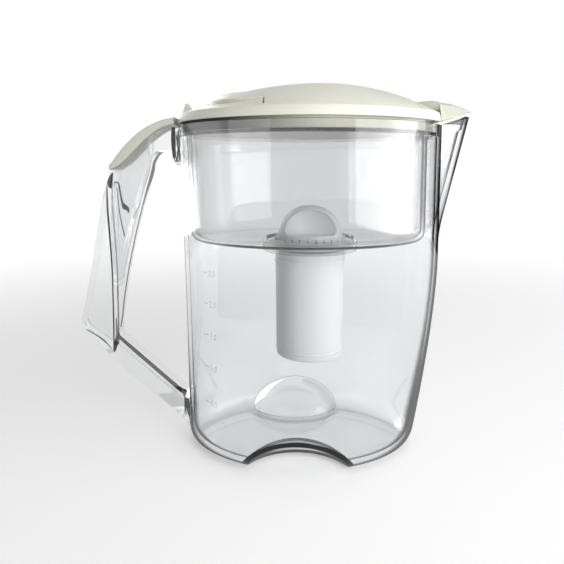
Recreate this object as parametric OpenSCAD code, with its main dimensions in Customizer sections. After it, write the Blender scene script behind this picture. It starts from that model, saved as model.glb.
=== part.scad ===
// Water filter pitcher: clear jug with an open handle, a hopper that hangs in
// the rim, a filter cartridge in the hopper floor and a flip-open lid.
// Millimetres. X runs from the handle (minus) to the spout (plus), Z is up,
// and the origin is the middle of the cartridge axis at table level.

/* [Jug] */
// Height of the rim above the table
jug_height = 239; // [228:1:246]
// Distance from the cartridge axis to the handle side, low on the wall
jug_back = 91.7; // [90:0.1:94]
// Distance from the cartridge axis to the spout side, under the rim
jug_front = 94.8; // [93:0.1:97]
// Width of the rim across the jug
jug_width = 139; // [135:0.5:144]
// Wall thickness below the ledge
jug_wall = 3; // [2.6:0.1:3.4]
// Thickness of the floor
floor_thick = 3.6; // [3:0.1:5]
// How far the spout reaches past the oval
spout_reach = 22; // [18:0.5:24]
// How far the spout lip rises above the rim
spout_rise = 7.6; // [5:0.2:8]
// Radius of the two scoops under the front and the back
scoop_r = 49.6; // [46:0.2:51]

/* [Hopper] */
// Depth of the hopper floor below the rim
hopper_depth = 82.5; // [74:0.5:88]
// Wall thickness of the hopper
hopper_wall = 2.4; // [2:0.1:2.8]
// Depth of the ledge that carries the hopper, below the rim
ledge_depth = 9.8; // [9:0.1:11]
// Thickness of the flange that rests on the ledge
flange_thick = 2.2; // [1.8:0.1:2.4]

/* [Cartridge] */
// Outside diameter of the cartridge body at its top
body_d = 51.6; // [49:0.2:52.6]
// Length of the cartridge below its collar
body_len = 82; // [74:1:88]
// Diameter of the collar
collar_d = 62; // [60:0.2:64]
// Diameter of the grip
grip_d = 48; // [46:0.5:49]
// Height of the grip above the collar ring
grip_h = 22.5; // [20:0.5:24]

/* [Lid] */
// Height of the lid crown above the rim
crown_rise = 28.3; // [27:0.1:30]
// Height of the band round the edge of the lid
band_h = 6.3; // [5.8:0.1:6.8]
// Wall thickness of the lid shells
lid_wall = 2.2; // [1.8:0.1:2.4]
// Diameter of the hatch hinge pin
hatch_pin_d = 2; // [1.6:0.1:2.4]
// Diameter of the spout flap hinge pin
flap_pin_d = 2; // [1.6:0.1:2.2]

/* [Handle] */
// Width of the handle
handle_width = 28; // [25:0.5:31]
// How far the handle stands out from the jug
handle_reach = 79.3; // [74:0.1:84]
// Wall thickness of the hollow grip
grip_wall = 3; // [2.6:0.1:3.4]

/* [Hidden] */
$fn = 72;
far = 80;            // cuts run past what they cut by this much

run_fit = 0.05;      // gap of a turning or sliding fit, on the radius
seat_gap = 0.1;      // gap between parts that rest on each other
loose_gap = 0.4;     // gap between parts that only need to pass
rim_wall = 1.9;      // jug wall above the ledge
ledge_z = jug_height - ledge_depth;
flange_z = ledge_z + seat_gap;
flange_top = flange_z + flange_thick;
hopper_floor = jug_height - hopper_depth;
lid_over = 0.7;      // the lid stands out past the jug wall
spout_base = 0.6;    // the spout narrows by this share of the wall on the inside

// Outline of the jug at a height.
oval_power = 2 / 1.85;      // superellipse, a little fuller than an ellipse
crease = 12;                // half angle of the spout, seen from the axis
spout_steps = 5;
side_steps = 26;
back_flare = 4.3;           // the handle side leans out this much to the rim
belly_in = 17.3;            // the spout side comes in this much to the floor
belly_h = 140;
side_taper = 10.5;
foot_h = 14;                // height of the rounded bottom corner
foot_back = 11.7;
foot_front = 7.5;
foot_side = 12;
spout_z = 155;              // the spout leaves the oval at this height

half_angles = concat(
    [for (i = [0:spout_steps - 1]) crease * i / spout_steps],
    [for (i = [0:side_steps]) crease + (180 - crease) * i / side_steps]);
ring_angles = concat(half_angles,
    [for (i = [len(half_angles) - 2:-1:1]) -half_angles[i]]);

function signed_pow(v, p) = sign(v) * pow(abs(v), p);
function foot(z) = z < foot_h ? 1 - sqrt(1 - pow(1 - max(z, 0) / foot_h, 2)) : 0;
function back_x(z, zf) = -jug_back - back_flare * pow(z / jug_height, 2) + foot_back * foot(zf);
function front_x(z, zf) =
    jug_front - belly_in * pow(max(0, 1 - z / belly_h), 1.5) - foot_front * foot(zf);
function side_y(z, zf) =
    jug_width / 2 - side_taper * pow(max(0, 1 - z / jug_height), 2) - foot_side * foot(zf);
function spout_x(z) = max(0, z - spout_z) * spout_reach / (jug_height + spout_rise - spout_z);
function spout_lift(z) = spout_rise * pow(max(0, z - spout_z) / (jug_height - spout_z), 2);

// One point of an oval from back x l to front x r, half width h, spout b.
function oval_point(l, r, h, b, t) = [
    (l + r) / 2 + (r - l) / 2 * signed_pow(cos(t), oval_power)
        + (abs(t) < crease ? b * (1 - pow(abs(t) / crease, 1.3)) : 0),
    h * signed_pow(sin(t), oval_power)];

// Ring of the jug wall, moved in by an inset; zf is the height for the foot.
function jug_ring(z, zf, inset, spout) = [
    for (t = ring_angles)
        let (
            up = abs(t) < crease ? spout * spout_lift(z) * (1 - abs(t) / crease) : 0,
            zz = z + up,
            b = spout * max(0, spout_x(zz) - spout_base * max(0, inset)),
            p = oval_point(back_x(z, zf) + inset, front_x(z, zf) - inset,
                           side_y(z, zf) - inset, b, t))
        [p.x, p.y, zz]];

function plan_ring(l, r, h, b) = [for (t = ring_angles) oval_point(l, r, h, b, t)];

// Triangles between rings, closed by a flat face below and a fan above.
function wall_faces(n, m) = [
    for (j = [0:n - 2], i = [0:m - 1], k = [0, 1])
        k == 0 ? [j * m + i, (j + 1) * m + i, (j + 1) * m + (i + 1) % m]
               : [j * m + i, (j + 1) * m + (i + 1) % m, j * m + (i + 1) % m]];
function top_fan(n, m) = [for (i = [0:m - 1]) [(n - 1) * m + (i + 1) % m, (n - 1) * m + i, n * m]];

module ring_solid(rings, top) {
    n = len(rings);
    m = len(rings[0]);
    polyhedron(concat([for (r = rings) for (p = r) p], [top]),
        concat([[for (i = [0:m - 1]) i]], wall_faces(n, m), top_fan(n, m)));
}

// ---------------------------------------------------------------- jug
foot_levels = [0, 1.2, 3.2, 6.5, 10, 14];
wall_levels = [24, 40, 62, 88, 114, 135, 155, 172, 192, 215];
kz = jug_height / 239;      // heights above the foot grow with the jug
scoop_x = -10.7;
scoop_y = 67;
scoop_drop = 26.2;
lug_w = 16;
upper_lug = [222, 234];     // height of the lug in the upper end of the handle
lower_lug = [22, 34];
lug_out = 3.6;
rim_x = back_x(jug_height, foot_h);

module jug_outside(grow) {
    levels = concat(foot_levels, wall_levels * kz, [jug_height]);
    ring_solid([for (z = levels) jug_ring(z, z, -grow, 1)], [0, 0, jug_height]);
}

module scoops(r) {
    for (s = [-1, 1])
        translate([scoop_x, s * scoop_y, -scoop_drop]) sphere(r);
}

module lug(z0, z1, x0, extra) {
    translate([x0 - lug_out - extra, -lug_w / 2 - extra, z0 - extra])
        cube([2 * lug_out, lug_w + 2 * extra, z1 - z0 + 2 * extra]);
}

module lugs(extra) {
    lug(upper_lug[0] * kz, upper_lug[1] * kz, rim_x + 1.2, extra);
    lug(lower_lug[0], lower_lug[1], -jug_back + 0.6, extra);
}

module jug_inside() {
    inner = concat([for (z = foot_levels) floor_thick + z], wall_levels * kz);
    ring_solid(concat(
        [for (z = inner) jug_ring(z, z - floor_thick, jug_wall, 1)],
        [jug_ring(ledge_z, ledge_z, jug_wall, 1),
         jug_ring(ledge_z + 0.01, ledge_z, rim_wall, 1),
         jug_ring(jug_height, jug_height, rim_wall, 1),
         jug_ring(jug_height + 6, jug_height, rim_wall, 1)]), [0, 0, jug_height + 6]);
}

module jug_shell() {
    color([0.86, 0.89, 0.9, 0.35])
    difference() {
        union() {
            difference() {
                union() {
                    jug_outside(0);
                    lugs(0);
                }
                jug_inside();
            }
            intersection() {
                jug_outside(0);
                scoops(scoop_r + jug_wall);
            }
        }
        scoops(scoop_r);
    }
}

// ---------------------------------------------------------------- handle
curve_steps = 20;
cap_x = rim_x - lid_over - loose_gap;   // the handle cap ends here, beside the lid
kx = handle_reach / 79.3;
cap_over = 1.4;                         // the cap is wider than the handle on each side
cap_tongue = 3.4;
insert_wall = 1.6;
pocket_w = handle_width - 2 * grip_wall - 2 * loose_gap;

function bezier(a, b, c, d, t) =
    a * pow(1 - t, 3) + b * 3 * t * pow(1 - t, 2) + c * 3 * t * t * (1 - t) + d * pow(t, 3);
function curve(a, b, c, d) = [for (i = [0:curve_steps]) bezier(a, b, c, d, i / curve_steps)];
// A point of the handle, given as the distance out from the jug and the height.
function hp(x, z) = [-jug_back - kx * x, kz * z];

cap_tip = 52.6;             // the cap ends here, out from the jug
seam_line = curve(hp(cap_tip, 205.6), hp(38, 209.5), hp(26, 236), [cap_x, jug_height - 1.4]);
cap_line = curve([cap_x, jug_height + 3.8], hp(22, 240.5), hp(36, 232), hp(cap_tip, 208.4));
outer_line = curve(hp(cap_tip, 205.6), hp(63, 192), hp(68, 135), hp(79.3, 93));
finger_line = curve(hp(14.3, 219.5), hp(23.3, 219.5), hp(24.8, 213), hp(26.3, 203));
palm_line = curve(hp(26.3, 203), hp(33.3, 185), hp(49.3, 130), hp(53.6, 81));

module handle_side() {
    polygon(concat(
        [[rim_x + 8, jug_height], [rim_x + 8, kz * 209],
         [rim_x - 0.2, kz * 209], [rim_x - 2.2, kz * 213], [rim_x - 2.8, kz * 219.5]],
        finger_line,
        [for (i = [1:curve_steps]) palm_line[i]],
        [hp(4, 36.5), hp(-6, 36.5), hp(-6, 8), hp(1.8, 19.5), hp(76.5, 86.5)],
        [for (i = [curve_steps:-1:0]) outer_line[i]],
        [for (i = [1:curve_steps]) seam_line[i]]));
}

module pocket_side() {
    polygon(concat(
        [for (i = [0:curve_steps - 3]) outer_line[i] + [grip_wall, 0]],
        [for (i = [curve_steps - 3:-1:0]) palm_line[i] - [grip_wall, 0]],
        [hp(25, 222), hp(25, 240), hp(cap_tip - grip_wall, 240)]));
}

module across(w) {
    rotate([90, 0, 0]) linear_extrude(w, center = true) children();
}

module handle() {
    color([0.88, 0.9, 0.91, 0.4])
    difference() {
        across(handle_width) handle_side();
        across(handle_width - 2 * grip_wall) pocket_side();
        jug_outside(seat_gap);
        lugs(seat_gap);
    }
}

module insert_side(e) {
    d = grip_wall + loose_gap + e;
    polygon(concat(
        [for (i = [4:curve_steps - 4]) outer_line[i] + [d, 0]],
        [for (i = [curve_steps - 4:-1:1]) palm_line[i] - [d, 0]]));
}

module grip_insert() {
    color([0.87, 0.89, 0.9, 0.4])
    difference() {
        across(pocket_w) insert_side(0);
        across(pocket_w - 2 * insert_wall) translate([0, insert_wall]) insert_side(insert_wall);
    }
}

module handle_cap() {
    color([0.93, 0.93, 0.88])
    difference() {
        union() {
            translate([0, 0, seat_gap]) across(handle_width + 2 * cap_over)
                polygon(concat(seam_line, cap_line));
            across(pocket_w) intersection() {
                polygon(concat([for (p = seam_line) p + [0, 2]],
                    [for (i = [curve_steps:-1:0]) seam_line[i] - [0, cap_tongue]]));
                polygon([hp(26, 180), hp(26, 245), hp(cap_tip - 4, 245), hp(cap_tip - 4, 180)]);
            }
        }
        jug_outside(seat_gap);
    }
}

// ---------------------------------------------------------------- hopper
back_gap = 2.3;             // room between the hopper and the jug wall
side_gap = 1.6;
front_gap = 7;
hopper_corner = 7;
weir_w = 30;                // the end wall stands up here so that nothing unfiltered reaches the spout
weir_h = 6;
flange_short = 8.6;         // the flange stops this far short of the spout
flange_cut_x = jug_front - flange_short;
socket_d = collar_d + 3;
socket_depth = 7.5;
socket_wall = 2.4;
bore_d = body_d + 2.6;
stop_w = 4.4;               // two stops on the floor that the cartridge turns against
stop_l = 8;
stop_h = 2.4;
seat_z = hopper_floor - socket_depth;
collar_z = seat_z + seat_gap;

function hopper_ring(z, inset, zf) =
    let (bend = 1 - sqrt(1 - pow(1 - max(zf, 0) / hopper_corner, 2)),
         c = hopper_corner * (zf < hopper_corner ? bend : 0),
         d = inset + c)
    [for (t = ring_angles)
        let (p = oval_point(back_x(z, foot_h) + jug_wall + back_gap + d,
                            jug_front - jug_wall - front_gap + 0.02 * (z - hopper_floor) - d,
                            side_y(z, foot_h) - jug_wall - side_gap - d, 0, t))
        [p.x, p.y, z]];

module hopper_block(inset, low, top) {
    levels = [0, 0.5, 1.6, 3.4, 5.2, 7];
    upper = [for (i = [1:4]) low + hopper_corner + (top - low - hopper_corner) * i / 4];
    ring_solid(concat(
        [for (z = levels) hopper_ring(low + z, inset, z)],
        [for (z = upper) hopper_ring(z, inset, hopper_corner)]), [0, 0, top]);
}

function rim_plan(inset) =
    let (d = rim_wall + inset)
    plan_ring(back_x(ledge_z, foot_h) + d, jug_front - d, side_y(ledge_z, foot_h) - d, 0);

module hopper_shell() {
    color([0.84, 0.87, 0.88, 0.35])
    difference() {
        union() {
            hopper_block(0, hopper_floor - hopper_wall, flange_top);
            translate([0, 0, flange_z]) linear_extrude(flange_thick) difference() {
                polygon(rim_plan(loose_gap));
                translate([flange_cut_x, -jug_width / 2]) square([jug_width, jug_width]);
            }
            translate([0, 0, seat_z - socket_wall])
                cylinder(h = hopper_floor - seat_z + socket_wall, d = socket_d + 2 * socket_wall);
            translate([flange_cut_x - 3, -weir_w / 2, flange_top - 4])
                cube([hopper_wall, weir_w, 4 + weir_h]);
            for (s = [-1, 1])
                translate([s * (socket_d / 2 + 3.4) - stop_w / 2, -stop_l / 2, hopper_floor - 1])
                    cube([stop_w, stop_l, stop_h + 1]);
        }
        hopper_block(hopper_wall, hopper_floor, flange_top + 12);
        translate([0, 0, seat_z]) cylinder(h = socket_depth + 12, d = socket_d);
        translate([0, 0, seat_z - 10]) cylinder(h = 30, d = bore_d);
    }
}

// ---------------------------------------------------------------- cartridge
body_wall = 1.6;
body_taper = 1.6;
collar_thick = 3.4;
vent_ring_h = 5;
vent_ring_d = grip_d + 4.5;
vents = 28;
vent_w = 1.6;
base_h = 4.2;
body_top = collar_z;
body_low = body_top - body_len + base_h;
seal_groove = 0.8;
seal_z = seat_z - socket_wall / 2;
seal_wire = bore_d / 2 - run_fit - (body_d / 2 - seal_groove);
seal_r = body_d / 2 - seal_groove + seal_wire / 2;
screen_thick = 0.8;
plug_h = 4;
media_top = body_top - plug_h - screen_thick;
media_low = body_low + 1 + screen_thick;
felt_thick = 2;
felt_z = media_low + 0.5 * (media_top - media_low);
fin_thick = 5;               // web left between the two finger hollows of the grip
arc_step = 7.5;
slots = 6;                  // outlet slots in the base
slot_w = 2.4;

function body_r(z) = body_d / 2 - body_taper / 2 * (body_top - z) / body_len;

module cartridge_body() {
    color([0.95, 0.95, 0.95])
    difference() {
        rotate_extrude() polygon([
            [body_r(body_low) - body_wall, body_low], [body_r(body_low), body_low],
            [body_r(body_top), body_top - 0.05], [body_r(body_top) - body_wall, body_top - 0.05]]);
        seal_ring(seal_wire + 2 * run_fit);
    }
}

module seal_ring(d) {
    translate([0, 0, seal_z]) rotate_extrude() translate([seal_r, 0]) circle(d = d);
}

module collar_seal() {
    color([0.8, 0.8, 0.8]) seal_ring(seal_wire - 2 * run_fit);
}

// Quarter or half outline of the grip, a by b.
function grip_arc(a, b, last) =
    [for (i = [0:last / arc_step]) [a * cos(i * arc_step), b * sin(i * arc_step)]];

module cartridge_cap() {
    inner_r = body_r(body_top) - body_wall - run_fit;
    dome_z = collar_z + collar_thick + vent_ring_h;
    color([0.96, 0.96, 0.95])
    difference() {
        union() {
            translate([0, 0, collar_z]) cylinder(h = collar_thick, d = collar_d);
            translate([0, 0, collar_z + collar_thick])
                cylinder(h = vent_ring_h, d1 = vent_ring_d + 1, d2 = vent_ring_d);
            translate([0, 0, collar_z - plug_h]) cylinder(h = plug_h + 0.5, r = inner_r - 0.4);
            translate([0, 0, dome_z]) rotate_extrude()
                polygon(concat([[0, 0]], grip_arc(grip_d / 2, grip_h, 90)));
        }
        for (s = [0, 1])
            mirror([0, s, 0]) translate([0, fin_thick / 2, dome_z + 1.5]) rotate([90, 0, 180])
                linear_extrude(grip_d)
                    polygon(concat([[0, 0]], grip_arc(grip_d / 2 - 3, grip_h - 4, 180)));
        for (i = [0:vents - 1])
            rotate([0, 0, (i + 0.5) * 360 / vents])
                translate([inner_r - 3, -vent_w / 2, collar_z + collar_thick + 1])
                    cube([12, vent_w, vent_ring_h - 2]);
        translate([0, 0, collar_z - plug_h - 1])
            cylinder(h = plug_h + collar_thick + vent_ring_h - 1.2, r = inner_r - 2);
    }
}

module cartridge_base() {
    r = body_r(body_low);
    z0 = body_low - base_h;
    color([0.93, 0.93, 0.93])
    difference() {
        union() {
            rotate_extrude() polygon([
                [0, z0], [r - 2.2, z0], [r - 0.5, z0 + 1], [r - 0.1, z0 + 2.6],
                [r - 0.1, body_low - 0.05], [0, body_low - 0.05]]);
            translate([0, 0, body_low - 1]) cylinder(h = 2, r = r - body_wall - run_fit);
        }
        for (i = [0:slots - 1])
            rotate([0, 0, (i + 0.5) * 360 / slots])
                translate([5, -slot_w / 2, z0 - 1]) cube([13, slot_w, base_h + 4]);
    }
}

module round_layer(z0, z1, gap) {
    translate([0, 0, z0]) cylinder(h = z1 - z0, r = body_r(z0) - body_wall - gap);
}

module inlet_screen() {
    color([0.88, 0.88, 0.86]) round_layer(media_top, media_top + screen_thick - 0.05, 0.2);
}

module carbon_bed() {
    color([0.12, 0.12, 0.12]) round_layer(felt_z + felt_thick / 2 + 0.05, media_top - 0.05, 0.3);
}

module felt_pad() {
    color([0.9, 0.9, 0.88]) round_layer(felt_z - felt_thick / 2, felt_z + felt_thick / 2, 0.15);
}

module resin_bed() {
    color([0.78, 0.62, 0.32]) round_layer(media_low + 0.05, felt_z - felt_thick / 2 - 0.05, 0.3);
}

module outlet_screen() {
    color([0.88, 0.88, 0.86]) round_layer(media_low - screen_thick + 0.05, media_low, 0.2);
}

// ---------------------------------------------------------------- lid
lid_l = rim_x - lid_over;
lid_r = jug_front + lid_over;
lid_h = jug_width / 2 + lid_over;
band_in = 1.6;                      // the band leans in this much to its top
crown_back = 87.5;                  // from the spout end of the lid back to its crown
crown_x = lid_r - crown_back;
crown_z = jug_height + crown_rise;
crown_bend = [0.002, 0.003];        // curvature of the crown, handle side and spout side
nose_in = 43.7;                     // the hatch stands up here for the thumb
nose_x = lid_l + nose_in;
nose_rise = 21.9;
nose_bend = 0.0095;
tent = 37;                          // the lid shell turns flat-sided over this length
nose_l = 41;                        // length of the rounded end of the hatch
nose_side = 20.2;                   // rim of the lid left either side of that end
nose_w = lid_h - nose_side;
hatch_in = 63.7;                    // the straight sides of the hatch start here
hatch_x0 = lid_l + hatch_in;
hatch_out = 24.5;                   // and end here, short of the spout end
hatch_x1 = lid_r - hatch_out;
hatch_pin_in = 2.5;
hatch_pin_x = hatch_x1 - hatch_pin_in;
hatch_pin_z = jug_height + 15.4;
hatch_arm_w = 18;
hinge_r = 2.1;                      // radius of the hinge barrels
ear_w = 3.4;
flap_out = 6.3;                     // the flap takes over the edge of the lid here
flap_x = lid_r - flap_out;
flap_hole_l = 14.4;                 // length of the hole for the flap
flap_back_x = flap_x - flap_hole_l;
flap_pin_in = 2.8;
flap_pin_x = flap_back_x + flap_pin_in;
flap_pin_z = jug_height + 13.2;
flap_back_w = 20;                   // width of the flap at its hinge
flap_w = 32;                        // and where it reaches the edge of the lid
flap_peak_in = 2.2;
flap_peak_x = flap_x - flap_peak_in;
flap_lip = 0.7;                     // the flap stays this far above the lip of the spout
flap_lead = 2.9;                    // its lower edge rises this far before the lip does
flap_peak = 16;
flap_bend = 0.0075;
prow_power = 0.77;                  // how full the spout end of the lid is
edge_rise = 3;                      // the top of the band rises this much to the tip
flap_arm_w = 8;
swing_gap = 1.1;                    // room round a shell that swings on a hinge
side_room = 0.5;                    // room beside it
rest_z = jug_height + seat_gap;
hatch_low = jug_height + 4.2;
flap_low = jug_height + 8.4;
tray_z = jug_height + 1.6;
tray_thick = 1.8;
fill_in = 6;                        // the filling hole is this far in front of the crown
fill_x = crown_x + fill_in;
fill_l = 82;
fill_w = 74;
fill_lip = 3.2;
skirt_wall = 1.8;
skirt_z = flange_top + 0.3;
skirt_short = 20;                   // the skirt stops this far short of the spout
skirt_cut_x = jug_front - skirt_short;
channel_in = 8.8;
channel_x = jug_front - channel_in;
channel_w = 34;
thumb_w = 9;                        // small tab over the handle to lift the lid by
thumb_h = 14.6;

band_z = jug_height + band_h;
prow_x = (lid_l + lid_r) / 2 + (lid_r - lid_l) / 2 * signed_pow(cos(crease), oval_power);
prow_y = lid_h * signed_pow(sin(crease), oval_power);

function dome_crown(x) = crown_z - crown_bend[x > crown_x ? 1 : 0] * pow(x - crown_x, 2);
function nose_crown(x) = jug_height + nose_rise - nose_bend * pow(x - nose_x, 2);
function flap_crown(x) = jug_height + flap_peak - flap_bend * pow(x - flap_peak_x, 2);
function hatch_crown(x) = x < nose_x + 10 ? max(dome_crown(x), nose_crown(x)) : dome_crown(x);
function shell_power(x) = 1 + min(1, max(0, (x - hatch_x0) / tent + 1));

// Oval of the lid edge, moved in by an inset.
function lid_plan(inset) = plan_ring(lid_l + inset, lid_r - inset, lid_h - inset, 0);
function lid_ring(inset, z) = [for (p = lid_plan(inset)) [p.x, p.y, z]];

// Half width of that oval at x.
function oval_half(x, inset) =
    let (n = 2 / oval_power, half_l = (lid_r - lid_l) / 2 - inset,
         u = min(1, abs(x - (lid_l + lid_r) / 2) / half_l))
    (lid_h - inset) * pow(1 - pow(u, n), 1 / n);

function dome_ring(inset, drop, f, kind) = [
    for (p = lid_plan(band_in + inset))
        let (x = crown_x + (p.x - crown_x) * (1 - f),
             y = p.y * (1 - f),
             c = kind == 0 ? dome_crown(x) : hatch_crown(x),
             v = f == 0 ? 1 : min(1, abs(y) / max(0.5, oval_half(x, band_in + inset))),
             fall = 1 - pow(v, kind == 0 ? shell_power(x) : 2))
        [x, y, band_z - drop + max(0, c - band_z) * fall]];

// Solid under the lid surface: kind 0 is the low one of the lid shell, kind 1
// the fuller one of the hatch.
module lid_solid(kind, inset, drop, low) {
    fs = [0, 0.035, 0.075, 0.12, 0.18, 0.25, 0.33, 0.42, 0.54, 0.68, 0.84];
    rings = concat(
        [lid_ring(inset, rest_z - low), lid_ring(inset, rest_z + 0.9)],
        [for (f = fs) dome_ring(inset, drop, f, kind)]);
    ring_solid(rings, [crown_x, 0, crown_z - drop]);
}

module hatch_plan(gap, end_gap) {
    intersection() {
        polygon(lid_plan(lid_over + band_in + 2 + gap));
        union() {
            translate([hatch_x0 + end_gap, -jug_width / 2])
                square([hatch_x1 - hatch_x0 - gap - end_gap, jug_width]);
            polygon([for (a = [0:5:355])
                [hatch_x0 + end_gap + nose_l * cos(a), (nose_w - end_gap) * sin(a)]]);
        }
    }
}

// Plan of the flap, and of everything past the edge of the lid that it covers.
module flap_plan(gap, back_gap) {
    a = flap_back_w / 2 - gap;
    b = flap_w / 2 - gap;
    past = flap_x + far;
    side = far / 2;
    polygon([
        [flap_back_x + back_gap, -a], [flap_back_x + back_gap, a], [flap_x + gap, b],
        [flap_x + gap, side], [past, side], [past, -side], [flap_x + gap, -side],
        [flap_x + gap, -b]]);
}

// Half width of the lid edge over the spout, and how far along it x is.
function prow_share(x) = min(1, max(0, (lid_r + spout_reach - x) / (lid_r + spout_reach - prow_x)));
function flap_half(x) = x > prow_x ? prow_y * pow(prow_share(x), prow_power) : oval_half(x, 0);

// Section of the flap at x, seen from the spout.
function flap_section(x, inset, drop, low) =
    let (w = max(0.4, flap_half(x) - inset),
         b = w - min(band_in, 0.3 * w),
         s = 1 - pow(prow_share(x), prow_power),
         lead = 1 - pow(prow_share(x + flap_lead), prow_power),
         e = band_z + edge_rise * s,
         c = max(0.4, flap_crown(x) - e),
         z = rest_z + flap_lip + spout_rise * lead - low,
         half = [[w, z], [b, e - drop], [0.78 * b, e + 0.72 * c - drop], [0.45 * b, e + 0.93 * c - drop]])
    concat([for (p = half) [x, p[0], p[1]]], [[x, 0, e + c - drop]],
        [for (i = [3:-1:0]) [x, -half[i][0], half[i][1]]]);

module flap_solid(inset, drop, low, x1) {
    steps = 14;
    x0 = flap_back_x - 1.2;
    rings = [for (i = [0:steps]) flap_section(x0 + (x1 - x0) * i / steps, inset, drop, low)];
    end = rings[steps];
    ring_solid(rings, [x1, 0, (end[0].z + end[4].z) / 2]);
}

module pin(x, z, d, w) {
    translate([x, 0, z]) rotate([90, 0, 0]) cylinder(h = w, d = d, center = true);
}

// Two ears on the tray, either side of a hinge arm.
module ears(x, z, arm_w) {
    for (s = [-1, 1]) translate([x, s * (arm_w / 2 + loose_gap / 2 + ear_w / 2), 0]) {
        translate([-hinge_r, -ear_w / 2, tray_z + 1]) cube([2 * hinge_r, ear_w, z - tray_z - 1]);
        translate([0, 0, z]) rotate([90, 0, 0]) cylinder(h = ear_w, r = hinge_r, center = true);
    }
}

module lid_shell() {
    color([0.94, 0.94, 0.89])
    difference() {
        union() {
            difference() {
                lid_solid(0, 0, 0, 0);
                lid_solid(0, lid_wall, lid_wall, 4);
            }
            translate([rim_x, 0, jug_height]) across(thumb_w)
                polygon([[2.6, 6], [5.8, thumb_h], [7, thumb_h - 0.2], [10.5, 9]]);
        }
        translate([0, 0, jug_height]) linear_extrude(far) hatch_plan(0, 0);
        translate([0, 0, jug_height - 5]) linear_extrude(far) flap_plan(0, 0);
    }
}

module fill_hole(gap) {
    translate([fill_x, 0]) scale([fill_l / fill_w, 1]) circle(d = fill_w - 2 * gap);
}

module lid_tray() {
    edge = lid_wall + band_in + seat_gap;
    color([0.92, 0.92, 0.87])
    difference() {
        union() {
            translate([0, 0, tray_z]) linear_extrude(tray_thick)
                polygon(lid_plan(edge));
            translate([0, 0, tray_z]) linear_extrude(tray_thick + fill_lip) fill_hole(-1.8);
            ears(hatch_pin_x, hatch_pin_z, hatch_arm_w);
            ears(flap_pin_x, flap_pin_z, flap_arm_w);
        }
        translate([0, 0, tray_z - 1]) linear_extrude(tray_thick + fill_lip + 2) fill_hole(0);
        translate([channel_x, -channel_w / 2, tray_z - 1]) cube([far, channel_w, tray_thick + 2]);
        pin(hatch_pin_x, hatch_pin_z, hatch_pin_d, far);
        pin(flap_pin_x, flap_pin_z, flap_pin_d, far);
    }
}

// Ring under the tray that hangs inside the rim of the jug.
module lid_skirt() {
    color([0.92, 0.92, 0.87])
    translate([0, 0, skirt_z]) linear_extrude(tray_z - skirt_z) difference() {
        polygon(rim_plan(loose_gap));
        polygon(rim_plan(loose_gap + skirt_wall));
        translate([skirt_cut_x, -jug_width / 2]) square([jug_width, jug_width]);
    }
}

// Slots that let the ears stand up through a shell.
module ear_slots(x, arm_w, back) {
    slot = ear_w + loose_gap;
    for (s = [-1, 1])
        translate([x - back, s * (arm_w + slot) / 2 - slot / 2, jug_height + 2])
            cube([back + 12, slot, far]);
}

module hatch() {
    color([0.95, 0.95, 0.9]) {
        difference() {
            intersection() {
                lid_solid(1, 0, 0, 0);
                translate([0, 0, hatch_low]) linear_extrude(far) hatch_plan(side_room, swing_gap);
            }
            intersection() {
                lid_solid(1, lid_wall, lid_wall, 4);
                translate([0, 0, hatch_low - 1]) linear_extrude(far)
                    hatch_plan(side_room + lid_wall, swing_gap + lid_wall);
            }
            ear_slots(hatch_pin_x, hatch_arm_w, 3.6);
            pin(hatch_pin_x, hatch_pin_z, hatch_pin_d + 2 * run_fit, hatch_arm_w + 2);
        }
        arm(hatch_pin_x, hatch_pin_z, hatch_arm_w, hatch_pin_d, -1);
    }
}

// Barrel of a hinge and the web that joins it to the shell above.
module arm(x, z, w, d, side) {
    difference() {
        union() {
            pin(x, z, 2 * hinge_r, w);
            translate([x + side * 2 - 2, -w / 2, z - 0.6]) cube([4, w, hinge_r + 0.2]);
        }
        pin(x, z, d + 2 * run_fit, w + 2);
    }
}

module hatch_pin() {
    color([0.75, 0.76, 0.78])
        pin(hatch_pin_x, hatch_pin_z, hatch_pin_d, hatch_arm_w + loose_gap + 2 * ear_w);
}

module spout_flap() {
    tip = lid_r + spout_reach;
    color([0.95, 0.95, 0.9]) {
        difference() {
            intersection() {
                flap_solid(0, 0, 0, tip - 0.6);
                union() {
                    translate([0, 0, flap_low]) linear_extrude(far) flap_plan(side_room, swing_gap);
                    translate([flap_x + side_room, -far / 2, jug_height - 2]) cube(far);
                }
            }
            intersection() {
                flap_solid(lid_wall, lid_wall, 4, tip - 6);
                translate([0, 0, jug_height - 5]) linear_extrude(far)
                    flap_plan(side_room + lid_wall, swing_gap + lid_wall);
            }
            mirror([1, 0, 0]) ear_slots(-flap_pin_x, flap_arm_w, 3.2);
            pin(flap_pin_x, flap_pin_z, flap_pin_d + 2 * run_fit, flap_arm_w + 2);
        }
        arm(flap_pin_x, flap_pin_z, flap_arm_w, flap_pin_d, 1);
    }
}

module flap_pin() {
    color([0.75, 0.76, 0.78])
        pin(flap_pin_x, flap_pin_z, flap_pin_d, flap_arm_w + loose_gap + 2 * ear_w);
}

jug_shell();
handle();
grip_insert();
handle_cap();
hopper_shell();
cartridge_body();
cartridge_cap();
cartridge_base();
collar_seal();
inlet_screen();
carbon_bed();
felt_pad();
resin_bed();
outlet_screen();
lid_shell();
lid_tray();
lid_skirt();
hatch();
hatch_pin();
spout_flap();
flap_pin();
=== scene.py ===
import math
import bmesh
import bpy
from mathutils import Matrix, Vector


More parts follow.
